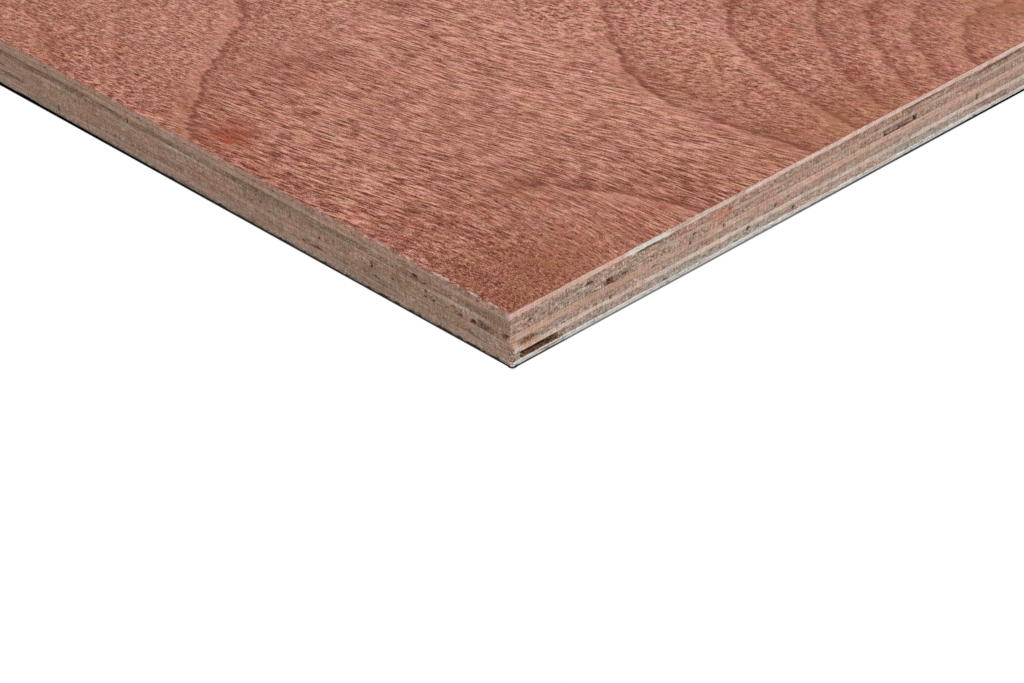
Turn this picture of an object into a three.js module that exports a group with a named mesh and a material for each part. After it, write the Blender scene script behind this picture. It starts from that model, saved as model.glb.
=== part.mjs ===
// A full sheet of hardwood plywood, lying flat with its good face up.
//
// Eleven plies are glued up with their grain crossed. Two thin red veneers, the face and the back,
// carry grain along the sheet. Between them nine core plies alternate: five run across the sheet and
// four run along it. Each core ply is laid from several strips of veneer side by side, and where two
// strips don't quite meet, their joint stands open at the sawn edge. One gap, one loose strip and two
// torn-out pits sit near the front corner, which is the corner at +X and -Y. That corner has been
// knocked, and most of its lower plies are chipped away a little more than its upper ones.
//
// Lengths are in millimetres. +X runs along the sheet and its face grain, +Y runs across it and +Z is up.
// The origin is the centre of the underside.

import * as THREE from 'three';

// The trimmed sheet
const sheetLength = 2440;
const sheetWidth = 1220;

// Thickness of each ply as pressed, from the face down
const faceVeneerThickness = 0.3;
const crossPly1Thickness = 1.7;
const longPly1Thickness = 2.1;
const crossPly2Thickness = 1.4;
const longPly2Thickness = 1.9;
const crossPly3Thickness = 2.4;
const longPly3Thickness = 2.1;
const crossPly4Thickness = 1.7;
const longPly4Thickness = 2.1;
const crossPly5Thickness = 1.0;
const backVeneerThickness = 0.3;

// The film of cured glue between two plies, left as the space that it fills
const glueLine = 0.1;

// The strips that a core ply is laid from, counted from its first opening. The last strip is cut down
// by the far edge, and joins its neighbour unbroken if it would be narrower than this.
const crossStripWidth = 430;
const longStripWidth = 290;
const narrowestStrip = 70;

// Width of the first strip, from the front corner, so that no two joints stand one above another
const crossPly1FirstStrip = 352;
const longPly1FirstStrip = 248;
const crossPly2FirstStrip = 183;
const longPly2FirstStrip = 159.5;
const crossPly3FirstStrip = 61.5;
const longPly3FirstStrip = 205;
const crossPly4FirstStrip = 394;
const longPly4FirstStrip = 3.5;
const crossPly5FirstStrip = 223.8;

// A joint stands open this wide at the edge and closes this far in
const jointMouth = 0.8;
const jointDepth = 120;

// The gap in long ply 4 beside the front corner, where two strips were laid apart
const cornerGapMouth = 14.5;
const cornerGapInnerWidth = 7;
const cornerGapDepth = 90;

// A narrow strip in long ply 2, set back from the edge and loose between two open joints
const looseStripWidth = 13.1;
const looseStripGap = 1.2;
const looseStripGapDepth = 60;
const looseStripSetback = 1.5;

// Pits where the saw tore short grain out of an edge, and how much narrower they are inside
const pitDepth = 3;
const pitTaper = 0.8;
const longPitStart = 38.2;
const longPitWidth = 3;
const crossPitStart = 14.8;
const crossPitWidth = 2.6;

// How far each ply is chipped back at the front corner, along both edges. Sound plies are only worn.
const wornCorner = 0.4;
const crossPly3Chip = 0.5;
const longPly3Chip = 0.8;
const crossPly4Chip = 1.4;
const longPly4Chip = 1.5;
const crossPly5Chip = 0.8;
const backVeneerChip = 0.5;

// Finish of each kind of veneer
const redVeneer = { color: 0xb5806c, roughness: 0.72, metalness: 0 };
const paleCore = { color: 0xcdb3a3, roughness: 0.8, metalness: 0 };
const brownCore = { color: 0xa58a7a, roughness: 0.88, metalness: 0 };

// Each opening below is the outline of a notch: a list of [distance along the edge from the front corner,
// depth into the ply], which starts and ends on the edge.

/** A joint between two strips, open at the edge and closed further in. */
function openJoint(at) {
  return [
    [at - jointMouth / 2, 0],
    [at, jointDepth],
    [at + jointMouth / 2, 0],
  ];
}

/** A gap between two strips that never meet, narrower at its inner end. */
function cornerGap(start) {
  return [
    [start, 0],
    [start, cornerGapDepth],
    [start + cornerGapInnerWidth, cornerGapDepth],
    [start + cornerGapMouth, 0],
  ];
}

/** A narrow strip set back from the edge, with a joint open on each side of it. */
function looseStrip(start) {
  const stripStart = start + looseStripGap;
  const stripEnd = stripStart + looseStripWidth;
  return [
    [start, 0],
    [start + looseStripGap / 2, looseStripGapDepth],
    [stripStart, looseStripSetback],
    [stripEnd, looseStripSetback],
    [stripEnd + looseStripGap / 2, looseStripGapDepth],
    [stripEnd + looseStripGap, 0],
  ];
}

/** A shallow pit with raked ends. */
function tornPit(start, width) {
  return [
    [start, 0],
    [start + pitTaper, pitDepth],
    [start + width - pitTaper, pitDepth],
    [start + width, 0],
  ];
}

/** The joints that follow a ply's first opening, one strip width apart. */
function laterJoints(firstOpening, stripWidth, edgeLength) {
  const [firstOpeningEnd] = firstOpening.at(-1);
  const joints = [];
  let at = firstOpeningEnd + stripWidth;
  while (at < edgeLength - narrowestStrip) {
    joints.push(openJoint(at));
    at += stripWidth;
  }
  return joints;
}

/**
 * The openings on a ply's two end-grain edges. The near edge has the first opening as it is, and any
 * pits before it. On the far edge the same two strips part in a plain joint.
 */
function coreOpenings(firstOpening, stripWidth, edgeLength, pits) {
  const [firstOpeningEnd] = firstOpening.at(-1);
  const joints = laterJoints(firstOpening, stripWidth, edgeLength);
  return {
    nearOpenings: [...pits, firstOpening, ...joints],
    farOpenings: [openJoint(firstOpeningEnd), ...joints],
  };
}

/** Distances along and in from the front long edge, where the strips of a cross ply end. */
const acrossSheet = {
  edgeLength: sheetLength,
  grainLength: sheetWidth,
  place: (along, inward) => new THREE.Vector2(sheetLength / 2 - along, inward - sheetWidth / 2),
};

/** Distances along and in from the front short edge, where the strips of a long ply end. */
const alongSheet = {
  edgeLength: sheetWidth,
  grainLength: sheetLength,
  place: (along, inward) => new THREE.Vector2(sheetLength / 2 - inward, along - sheetWidth / 2),
};

/** A core ply whose grain runs across the sheet. */
function crossPly(name, thickness, chip, firstOpening, pits = []) {
  const openings = coreOpenings(firstOpening, crossStripWidth, sheetLength, pits);
  return { name, thickness, chip, finish: paleCore, ...acrossSheet, ...openings };
}

/** A core ply whose grain runs along the sheet. */
function longPly(name, thickness, chip, firstOpening, pits = []) {
  const openings = coreOpenings(firstOpening, longStripWidth, sheetWidth, pits);
  return { name, thickness, chip, finish: brownCore, ...alongSheet, ...openings };
}

/** A face or back veneer, peeled wide enough to need no joint. */
function outerVeneer(name, thickness, chip) {
  return { name, thickness, chip, finish: redVeneer, ...alongSheet, nearOpenings: [], farOpenings: [] };
}

const longPit = tornPit(longPitStart, longPitWidth);
const crossPit = tornPit(crossPitStart, crossPitWidth);

// From the face down
const layup = [
  outerVeneer('face_veneer', faceVeneerThickness, wornCorner),
  crossPly('cross_ply_1', crossPly1Thickness, wornCorner, openJoint(crossPly1FirstStrip)),
  longPly('long_ply_1', longPly1Thickness, wornCorner, openJoint(longPly1FirstStrip)),
  crossPly('cross_ply_2', crossPly2Thickness, wornCorner, openJoint(crossPly2FirstStrip)),
  longPly('long_ply_2', longPly2Thickness, wornCorner, looseStrip(longPly2FirstStrip), [longPit]),
  crossPly('cross_ply_3', crossPly3Thickness, crossPly3Chip, openJoint(crossPly3FirstStrip), [crossPit]),
  longPly('long_ply_3', longPly3Thickness, longPly3Chip, openJoint(longPly3FirstStrip)),
  crossPly('cross_ply_4', crossPly4Thickness, crossPly4Chip, openJoint(crossPly4FirstStrip)),
  longPly('long_ply_4', longPly4Thickness, longPly4Chip, cornerGap(longPly4FirstStrip)),
  crossPly('cross_ply_5', crossPly5Thickness, crossPly5Chip, openJoint(crossPly5FirstStrip)),
  outerVeneer('back_veneer', backVeneerThickness, backVeneerChip),
];

/**
 * The outline of a ply: from the chip along its near edge, into each opening and out, back along the far
 * edge and home to the other end of the chip.
 */
function plyOutline(ply) {
  const farEdge = ply.farOpenings.flat().reverse();
  const corners = [
    [ply.chip, 0],
    ...ply.nearOpenings.flat(),
    [ply.edgeLength, 0],
    [ply.edgeLength, ply.grainLength],
    ...farEdge.map(([along, depth]) => [along, ply.grainLength - depth]),
    [0, ply.grainLength],
    [0, ply.chip],
  ];
  return new THREE.Shape(corners.map(([along, inward]) => ply.place(along, inward)));
}

function makePly(ply, underside) {
  const geometry = new THREE.ExtrudeGeometry(plyOutline(ply), {
    depth: ply.thickness,
    bevelEnabled: false,
  });
  const mesh = new THREE.Mesh(geometry, new THREE.MeshStandardMaterial(ply.finish));
  mesh.name = ply.name;
  mesh.position.z = underside;
  return mesh;
}

const sheet = new THREE.Group();
sheet.name = 'plywood_sheet';

let underside = 0;
for (const ply of layup.toReversed()) {
  sheet.add(makePly(ply, underside));
  underside += ply.thickness + glueLine;
}

export default sheet;
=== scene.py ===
# %% [markdown]
# # A sheet of plywood
#
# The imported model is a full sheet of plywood: eleven thin plies, one above another, each a plain solid.
# It is right in every size and has no finish. This lesson gives it one: a rotary-cut face veneer with its
# figure and pores, sawn edges that show end grain and long grain in turn, gaps, pits and splinters.
#
# Blender measures in metres. Wood is easier to think about in millimetres, so sizes are written as a
# number of millimetres times MM.

# %% Load the plies
import math

import bmesh
import bpy
import numpy as np
from mathutils import Matrix, Vector
from mathutils.geometry import delaunay_2d_cdt


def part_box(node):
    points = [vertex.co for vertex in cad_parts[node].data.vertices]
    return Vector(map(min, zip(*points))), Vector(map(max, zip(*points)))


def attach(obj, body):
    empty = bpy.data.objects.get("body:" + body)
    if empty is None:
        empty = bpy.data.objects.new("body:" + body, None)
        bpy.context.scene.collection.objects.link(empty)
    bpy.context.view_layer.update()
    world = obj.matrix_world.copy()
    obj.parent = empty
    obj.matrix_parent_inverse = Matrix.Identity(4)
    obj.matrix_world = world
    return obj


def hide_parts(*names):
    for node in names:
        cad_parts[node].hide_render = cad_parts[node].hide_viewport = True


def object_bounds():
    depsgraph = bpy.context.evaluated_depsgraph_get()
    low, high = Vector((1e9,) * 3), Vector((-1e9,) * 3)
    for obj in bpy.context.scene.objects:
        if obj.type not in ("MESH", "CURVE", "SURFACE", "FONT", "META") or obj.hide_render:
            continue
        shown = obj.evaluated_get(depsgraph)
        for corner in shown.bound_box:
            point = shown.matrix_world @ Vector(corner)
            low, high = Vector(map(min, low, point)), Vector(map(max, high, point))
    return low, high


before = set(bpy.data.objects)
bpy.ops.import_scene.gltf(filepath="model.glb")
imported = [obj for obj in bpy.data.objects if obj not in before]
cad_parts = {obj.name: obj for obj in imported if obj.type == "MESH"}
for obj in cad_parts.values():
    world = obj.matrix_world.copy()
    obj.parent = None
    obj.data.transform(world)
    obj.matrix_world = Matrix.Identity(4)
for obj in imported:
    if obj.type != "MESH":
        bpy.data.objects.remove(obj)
CAD_LOW, CAD_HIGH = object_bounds()
MM = 0.001
LENGTH, WIDTH, THICKNESS = (CAD_HIGH - CAD_LOW) / MM
FRONT_CORNER = Vector((CAD_HIGH.x, CAD_LOW.y, CAD_HIGH.z))
print(f"sheet of {LENGTH:.0f} x {WIDTH:.0f} x {THICKNESS:.0f} mm in {len(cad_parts)} plies")

# %% [markdown]
# ## The camera
#
# The sheet is looked at from above its front corner, where a short edge and a long edge meet. A long lens
# from under a metre away takes in about 250 mm of each. Building the camera's three axes by hand is more
# exact than turning it by angles one after another, because the roll is then just a turn of two axes.

# %% Camera
LENS = 100.4
VIEW_AZIMUTH = math.radians(49.05)
VIEW_ELEVATION = math.radians(32.71)
VIEW_ROLL = math.radians(-3.16)
VIEW_DISTANCE = 803.5 * MM
AIM_RIGHT_OF_CORNER = 0.8 * MM
AIM_BELOW_CORNER = 7.8 * MM


def camera_axes():
    """The camera's right, up and forward directions."""
    flat = math.cos(VIEW_ELEVATION)
    forward = Vector((
        -math.sin(VIEW_AZIMUTH) * flat,
        math.cos(VIEW_AZIMUTH) * flat,
        -math.sin(VIEW_ELEVATION),
    ))
    level_right = Vector((math.cos(VIEW_AZIMUTH), math.sin(VIEW_AZIMUTH), 0))
    level_up = level_right.cross(forward)
    right = level_right * math.cos(VIEW_ROLL) + level_up * math.sin(VIEW_ROLL)
    up = level_up * math.cos(VIEW_ROLL) - level_right * math.sin(VIEW_ROLL)
    return right, up, forward


right, up, forward = camera_axes()
camera = bpy.data.objects.new("corner_camera", bpy.data.cameras.new("corner_camera"))
camera.data.lens = LENS
camera.data.clip_start = 0.01
aim = FRONT_CORNER + right * AIM_RIGHT_OF_CORNER - up * AIM_BELOW_CORNER
axes = Matrix((right, up, -forward)).transposed().to_4x4()
camera.matrix_world = Matrix.Translation(aim - forward * VIEW_DISTANCE) @ axes
bpy.context.scene.collection.objects.link(camera)
bpy.context.scene.camera = camera
bpy.context.scene.view_settings.view_transform = "Standard"
print("camera at", [round(c, 3) for c in camera.location])

# %% [markdown]
# ## Writing nodes as sums
#
# Wood takes many small textures added together. Clicked together, that is a wall of nodes. In code it can
# read as arithmetic, if a value that comes out of a node knows how to be added, multiplied and compared.
# The same class serves materials and Geometry Nodes, because both kinds of tree share their math nodes.

# %% Signals
class Signal:
    """A number or vector on its way through a node tree."""

    def __init__(self, tree, socket):
        self.tree = tree
        self.socket = socket

    def math(self, operation, *others):
        node = add_node(self.tree, "ShaderNodeMath", dict(enumerate((self, *others))), operation=operation)
        return Signal(self.tree, node.outputs[0])

    def __add__(self, other):
        return self.math("ADD", other)

    def __sub__(self, other):
        return self.math("SUBTRACT", other)

    def __rsub__(self, other):
        return self.math("MULTIPLY_ADD", -1.0, other)

    def __mul__(self, other):
        return self.math("MULTIPLY", other)

    def __truediv__(self, other):
        return self.math("DIVIDE", other)

    def ramp(self, low, high, step="SMOOTHSTEP"):
        """0 below low, 1 above high, and a smooth step between. With low above high it falls."""
        inputs = {"Value": self, "From Min": low, "From Max": high}
        node = add_node(self.tree, "ShaderNodeMapRange", inputs, interpolation_type=step)
        return Signal(self.tree, node.outputs[0])

    def fade(self, distance):
        """Falls from 1 to nothing over this distance or a few of it."""
        return (self / -distance).math("EXPONENT")


def feed(tree, socket, value):
    """Sets a socket to a plain value, or links a signal or another socket to it."""
    if isinstance(value, Signal):
        tree.links.new(value.socket, socket)
    elif isinstance(value, bpy.types.NodeSocket):
        tree.links.new(value, socket)
    else:
        socket.default_value = value


def add_node(tree, kind, inputs=None, **settings):
    node = tree.nodes.new(kind)
    for name, value in settings.items():
        setattr(node, name, value)
    for key, value in (inputs or {}).items():
        feed(tree, node.inputs[key], value)
    return node


def join(x, y, z):
    """One vector from three values, of which one at least is a signal."""
    tree = next(part.tree for part in (x, y, z) if isinstance(part, Signal))
    return Signal(tree, add_node(tree, "ShaderNodeCombineXYZ", {0: x, 1: y, 2: z}).outputs[0])


def split(vector):
    node = add_node(vector.tree, "ShaderNodeSeparateXYZ", {0: vector})
    return [Signal(vector.tree, output) for output in node.outputs]


def scaled_place(place, sizes, seed):
    """A place measured in these sizes, and moved off by the seed so that no two textures match."""
    inputs = {0: place, 1: tuple(1 / size for size in sizes), 2: (seed * 17.3, seed * -9.1, seed * 5.7)}
    return add_node(place.tree, "ShaderNodeVectorMath", inputs, operation="MULTIPLY_ADD").outputs[0]


def texture(place, sizes, seed, detail=1.0, rough=0.5):
    """Smooth noise from 0 to 1 whose blotches measure about these three sizes, in place's own units."""
    inputs = {"Vector": scaled_place(place, sizes, seed), "Scale": 1.0}
    noise = add_node(place.tree, "ShaderNodeTexNoise", {**inputs, "Detail": detail, "Roughness": rough})
    return Signal(place.tree, noise.outputs[0])


def strokes(place, sizes, seed):
    """One crisp stroke in each cell of these sizes: up to 1 on it, and below 0 along the cell's border."""
    inputs = {"Vector": scaled_place(place, (*sizes, 1), seed), "Scale": 1.0}
    cells = add_node(place.tree, "ShaderNodeTexVoronoi", inputs, voronoi_dimensions="2D")
    distance = Signal(place.tree, cells.outputs["Distance"])
    chance = Signal(place.tree, cells.outputs["Color"])
    boldness = split(chance)[0].ramp(-0.4, 0.9, "LINEAR")
    border = distance.ramp(0.38, 0.62)
    return distance.ramp(0.28, 0.08) * boldness - border * 0.45


def srgb(red, green, blue):
    """A colour written in the 0 to 255 of a paint program, as the linear colour that Blender works in."""
    shares = np.array((red, green, blue)) / 255
    linear = np.where(shares <= 0.04045, shares / 12.92, ((shares + 0.055) / 1.055) ** 2.4)
    return (*linear.tolist(), 1.0)


def mix_colour(factor, first, second, blend="MIX"):
    """Two colours mixed. Sockets 6 and 7 of the node take colours, and its output 2 gives one."""
    inputs = {0: factor, 6: first, 7: second}
    node = add_node(factor.tree, "ShaderNodeMix", inputs, data_type="RGBA", blend_type=blend)
    return node.outputs[2]


def colour_scale(value, stops):
    """A colour for each value from 0 to 1, from a list of (value, colour)."""
    node = add_node(value.tree, "ShaderNodeValToRGB", {0: value})
    ramp = node.color_ramp
    while len(ramp.elements) < len(stops):
        ramp.elements.new(0.5)
    for element, (at, colour) in zip(ramp.elements, stops):
        element.position = at
        element.color = colour
    return node.outputs[0]


def new_finish(name, roughness=0.75):
    """An empty wood material: its tree and its shader."""
    material = bpy.data.materials.new(name)
    material.use_nodes = True
    tree = material.node_tree
    shader = tree.nodes["Principled BSDF"]
    shader.inputs["Roughness"].default_value = roughness
    shader.inputs["Specular IOR Level"].default_value = 0.25
    return material, tree, shader


def paint(shader, colour, tone, relief_mm, strength):
    """Gives the shader its colour, and a fine bump that follows the tone."""
    inputs = {"Height": tone, "Distance": relief_mm * MM, "Strength": strength}
    feed(tone.tree, shader.inputs["Base Color"], colour)
    feed(tone.tree, shader.inputs["Normal"], add_node(tone.tree, "ShaderNodeBump", inputs).outputs[0])


def place_in_sheet(tree):
    """Distance along the grain from the front end, across it from the front side, and height: all in mm."""
    x, y, z = split(Signal(tree, add_node(tree, "ShaderNodeTexCoord").outputs["Object"]))
    along = (x * (-1 / MM)) + LENGTH / 2
    across = (y * (1 / MM)) + WIDTH / 2
    return along, across, z * (1 / MM)


print("signal class ready")

# %% [markdown]
# ## Light and floor
#
# Soft light from all round keeps the face even, and one soft sun from the right makes the short edge
# brighter than the long edge. Their sum on the face is about 1, so a colour renders about as it is written.
#
# The floor and the background look pure white to the camera, apart from a painted contact shadow: a dark
# hairline where the sheet meets the floor. An Ambient Occlusion node finds the floor that the sheet stands
# over. The painted shadow's width and depth then follow the distance from the sheet's foot: it is near
# black along the left edge, and grey along the right edge, where the sun reaches under it.

# %% Light
SKY_LEVEL = 0.62
SUN_LEVEL = 0.5
SUN_ANGLE = math.radians(12)
SUN_FROM = Vector((0.62, 0.05, 0.80))
FLOOR_SIZE = 60.0
FLOOR_COLOUR = (0.85, 0.85, 0.85, 1)
CONTACT_REACH = 2.5 * MM
# The painted contact shadow at the foot of each edge, in mm. Its width goes from the first value at the
# corner to the second at LINE_LENGTH, and its colour from near to far. Within corner_reach of the corner it
# has a third colour.
LINE_LENGTH = 250.0
LEFT_SHADOW_LINE = {
    "width": (0.60, 1.36), "near": srgb(52, 42, 36), "far": srgb(10, 6, 4),
    "corner_reach": 9.0, "corner": srgb(34, 24, 22),
}
RIGHT_SHADOW_LINE = {
    "width": (0.80, 1.08), "near": srgb(126, 124, 119), "far": srgb(10, 9, 8),
    "corner_reach": 24.0, "corner": srgb(74, 66, 58),
}
# Painted shadow right at the foot of the front corner, where the broken corner stands back from the floor
CORNER_SHADOW = srgb(28, 18, 16)
WHITE = (1, 1, 1, 1)


def seen_directly(tree):
    """1 for rays that show the surroundings: from the camera, in gloss, or through glass."""
    rays = tree.nodes.new("ShaderNodeLightPath").outputs
    shown = Signal(tree, rays["Is Camera Ray"])
    shown = shown.math("MAXIMUM", Signal(tree, rays["Is Glossy Ray"]))
    return shown.math("MAXIMUM", Signal(tree, rays["Is Transmission Ray"]))


def light_the_world():
    world = bpy.data.worlds.new("soft_room")
    bpy.context.scene.world = world
    world.use_nodes = True
    tree = world.node_tree
    sky = add_node(tree, "ShaderNodeBackground", {"Color": WHITE, "Strength": SKY_LEVEL})
    white = add_node(tree, "ShaderNodeBackground", {"Color": WHITE})
    shaders = {0: seen_directly(tree), 1: sky.outputs[0], 2: white.outputs[0]}
    mix = add_node(tree, "ShaderNodeMixShader", shaders)
    tree.links.new(mix.outputs[0], tree.nodes["World Output"].inputs[0])


def add_sun():
    sun = bpy.data.objects.new("sun", bpy.data.lights.new("sun", "SUN"))
    sun.data.energy = SUN_LEVEL * math.pi
    sun.data.angle = SUN_ANGLE
    sun.rotation_mode = "QUATERNION"
    sun.rotation_quaternion = SUN_FROM.to_track_quat("Z", "Y")
    bpy.context.scene.collection.objects.link(sun)


def contact_shadow_colour(outward, s, line):
    """The painted contact shadow on the floor this far out from the sheet's foot, and this far along from
    the corner.
    """
    first_width, last_width = line["width"]
    reach = line["corner_reach"]
    patches = texture(join(s, 0.0, 0.0), (11, 1, 1), 4, detail=2) - 0.5
    far_share = (s + patches * 120).ramp(0.30 * LINE_LENGTH, 0.95 * LINE_LENGTH)
    dark = mix_colour(far_share, line["near"], line["far"])
    dark = mix_colour((s + patches * 14).ramp(reach, reach * 0.6), dark, line["corner"])
    dark = mix_colour(s.ramp(2.6, 1.2), dark, CORNER_SHADOW)
    width = s * ((last_width - first_width) / LINE_LENGTH) + first_width
    width = width + s.ramp(1.6, 0.2) * 0.2
    return mix_colour((outward - width).ramp(-0.08, 0.10), dark, WHITE)


def floor_material():
    material = bpy.data.materials.new("white_floor")
    material.use_nodes = True
    tree = material.node_tree
    plain = tree.nodes["Principled BSDF"]
    plain.inputs["Base Color"].default_value = FLOOR_COLOUR
    plain.inputs["Roughness"].default_value = 0.9
    along, across, _ = place_in_sheet(tree)
    beyond_end, beyond_side = along * -1.0, across * -1.0
    left = contact_shadow_colour(beyond_side, along, LEFT_SHADOW_LINE)
    right = contact_shadow_colour(beyond_end, across, RIGHT_SHADOW_LINE)
    line = mix_colour((beyond_end - beyond_side).ramp(-0.05, 0.05), left, right)
    # The painted contact shadow only shows where the Ambient Occlusion finds the sheet close by
    nearby = add_node(tree, "ShaderNodeAmbientOcclusion", {"Distance": CONTACT_REACH}, samples=24)
    covered = Signal(tree, nearby.outputs["AO"]).ramp(0.98, 0.90)
    glow = add_node(tree, "ShaderNodeEmission", {"Color": mix_colour(covered, WHITE, line)})
    shaders = {0: seen_directly(tree), 1: plain.outputs[0], 2: glow.outputs[0]}
    mix = add_node(tree, "ShaderNodeMixShader", shaders)
    tree.links.new(mix.outputs[0], tree.nodes["Material Output"].inputs[0])
    return material


def add_floor():
    half = FLOOR_SIZE / 2
    corners = [(-half, -half, 0), (half, -half, 0), (half, half, 0), (-half, half, 0)]
    mesh = bpy.data.meshes.new("floor")
    mesh.from_pydata(corners, [], [(0, 1, 2, 3)])
    mesh.materials.append(floor_material())
    floor = bpy.data.objects.new("floor", mesh)
    bpy.context.scene.collection.objects.link(floor)


light_the_world()
add_sun()
add_floor()
print("light on the face:", round(SKY_LEVEL + SUN_LEVEL * SUN_FROM.normalized().z, 2))

# %% [markdown]
# ## The figure of the face
#
# A rotary lathe peels a log like a roll of paper, so the veneer shows growth rings as long nested curves.
# Think of each ring as a contour line on a map: a smooth field gives every point of the sheet a level, and
# a ring stands wherever the level passes a whole number. The level comes from a few long waves over the
# whole sheet. Near the front corner it is pulled to the rings below, which are placed one by one.
#
# Painting rings straight onto the mesh would need a vertex for each of their ragged teeth. Instead, the
# mesh carries the smooth field on a coarse grid, and the material finds the rings in it and adds the teeth.

# %% Growth rings near the corner
# Each ring is its level, how strongly it shows, and points (across, along) in mm from the front corner.
RINGS = [
    (0, 0.7, [(-4, 215), (0, 225), (8, 240), (15, 252), (22, 264)]),
    (1, 0.35, [(24, 222), (32, 234), (40, 243), (46, 252)]),
    (2, 1.0, [(-8, 140), (4, 156), (14, 166), (25, 178), (38, 185), (48, 190), (56, 199)]),
    (2, 1.0, [(66, 206), (76, 216)]),
    (3, 0.9, [(77, -4), (76, 10), (73, 20), (68, 26), (61, 34), (60, 44)]),
    (3, 0.3, [(60, 52), (52, 58), (42, 62), (30, 66), (18, 66), (6, 62)]),
    (4, 1.0, [(127, -5), (125, 10), (123, 30), (121, 45), (122, 57), (124, 68), (127, 82), (132, 93)]),
    (4, 0.7, [(138, 101), (148, 112), (160, 124), (172, 134)]),
    (5, 0.9, [(146, -3), (147, 12), (149, 25), (152, 42), (156, 57), (162, 70), (172, 80), (186, 92)]),
    (6, 0.6, [(165, -3), (168, 12), (175, 25), (183, 38), (190, 48), (196, 59), (204, 70)]),
    (7, 0.6, [(172, -3), (176, 10), (183, 27), (193, 39), (202, 50), (212, 57)]),
    (8, 0.6, [(188, -4), (194, 8), (204, 20), (216, 31), (232, 42)]),
    (9, 0.6, [(201, -4), (207, 9), (218, 18), (230, 24), (244, 30)]),
]
# Points between the rings whose level keeps any other ring away: (across, along, level)
QUIET_LEVELS = [
    (60, 110, 2.62), (90, 90, 3.3), (100, 150, 2.9), (30, 100, 2.55), (20, 20, 2.7),
    (45, 15, 2.8), (100, 30, 3.55), (120, 190, 3.2), (10, 130, 2.3),
]


def sheet_waves(along, across):
    """The level far from the corner: long waves that make loops drawn out along the grain."""
    turn = 2 * np.pi
    return (
        2.2
        + 3.0 * np.sin(turn * (across / 640 + 0.09 * np.sin(turn * along / 1500) + 0.02))
        + 1.5 * np.sin(turn * (along / 1500 + across / 900 + 0.35))
        + 0.7 * np.sin(turn * (along / 760 - across / 430 + 0.1))
        + 0.35 * np.sin(turn * (along / 410 + across / 260 + 0.6))
    )


def bump(along, across, centre_along, centre_across, reach):
    """A round hill 1 high."""
    return np.exp(-((along - centre_along) ** 2 + (across - centre_across) ** 2) / (2 * reach**2))


class PlacedField:
    """A smooth value over the sheet: a base, plus hills that bring it to its own value at placed points."""

    def __init__(self, base, placed, reach, slack):
        self.base = base
        self.reach = reach
        self.across, self.along, values = np.array(placed, float).T
        hills = bump(self.along[:, None], self.across[:, None], self.along, self.across, reach)
        missing = values - base(self.along, self.across)
        self.heights = np.linalg.solve(hills + slack * np.eye(len(values)), missing)

    def at(self, along, across):
        total = self.base(along, across)
        for centre_along, centre_across, height in zip(self.along, self.across, self.heights):
            total = total + height * bump(along, across, centre_along, centre_across, self.reach)
        return total


ring_points = [(across, along, level) for level, strength, ring in RINGS for across, along in ring]
growth = PlacedField(sheet_waves, ring_points + QUIET_LEVELS, reach=48.0, slack=0.02)
print("growth field placed on", len(growth.heights), "points")

# %% [markdown]
# ## The run of the grain
#
# Fibres don't run quite along the sheet. Near the front corner they lean by about one in three, and they
# come back to the sheet's own direction further on. The same kind of field describes that: every fibre is
# named by where it meets the short edge, and drift is how far it has moved sideways since.

# %% Fibres near the corner
# Where a fibre meets the short edge, and points (across, along) that it passes, in mm
FIBRES = {
    10: [(10, 0), (11, 25), (8, 50), (5, 70), (-4, 130), (-16, 195), (-26, 260)],
    35: [(35, 0), (37, 25), (35, 50), (32, 70), (21, 130), (9, 195), (-2, 260)],
    60: [(60, 0), (61, 25), (58, 50), (54, 70), (41, 130), (30, 195), (19, 260)],
    90: [(90, 0), (86, 25), (80, 50), (76, 70), (63, 130), (52, 195), (41, 260)],
    120: [(120, 0), (101, 65), (84, 130), (72, 195), (61, 260)],
    150: [(150, 0), (130, 65), (111, 130), (98, 195)],
    180: [(180, 0), (164, 65), (147, 130)],
    210: [(210, 0), (199, 65), (188, 130)],
    240: [(240, 0), (231, 65)],
}
GRAIN_LEAN = 0.19
LEAN_REACH = 420.0
LEAN_CENTRE = 110.0


def sheet_drift(along, across):
    """The drift of the fibres over the whole sheet: a lean near the front corner that fades out."""
    lean = GRAIN_LEAN * np.exp(-(((across - LEAN_CENTRE) / LEAN_REACH) ** 2))
    return lean * LEAN_REACH * np.tanh(along / LEAN_REACH)


fibre_points = [(across, along, lane - across) for lane, fibre in FIBRES.items() for across, along in fibre]
fibre_drift = PlacedField(sheet_drift, fibre_points, reach=60.0, slack=0.005)
print("drift 100 mm and 600 mm in:", [round(float(fibre_drift.at(d, 100.0)), 1) for d in (100.0, 600.0)])

# %% [markdown]
# ## Outlines
#
# Every ply starts from the plan outline of its own solid, gaps and joints included, so nothing here has to
# repeat the sizes of the model. A solid comes in as loose triangles, so a copy is merged first. The edges
# between its underside and its walls then chain into one loop.

# %% Read a ply's outline
def plan_outline(node):
    """The corners of a solid's underside in plan, anticlockwise, in mm."""
    solid = bmesh.new()
    solid.from_mesh(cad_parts[node].data)
    bmesh.ops.remove_doubles(solid, verts=solid.verts, dist=0.001 * MM)
    following = {}
    for face in solid.faces:
        if face.normal.z > -0.5:
            continue
        for loop in face.loops:
            wall = loop.link_loop_radial_next.face
            if abs(wall.normal.z) < 0.5:
                following[loop.link_loop_next.vert] = loop.vert
    start = here = next(iter(following))
    corners = []
    while not corners or here is not start:
        corners.append(here.co.xy / MM)
        here = following[here]
    solid.free()
    return [(corner.x, corner.y) for corner in corners]


outlines = {node: plan_outline(node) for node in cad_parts}
print({node: len(outline) for node, outline in outlines.items()})

# %% [markdown]
# ## Stations along an edge
#
# Roughness needs many small faces where the eye comes close, and few elsewhere. So the walk round an
# outline takes short steps near the front corner, and long ones on the hidden sides and inside the gaps.

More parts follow.
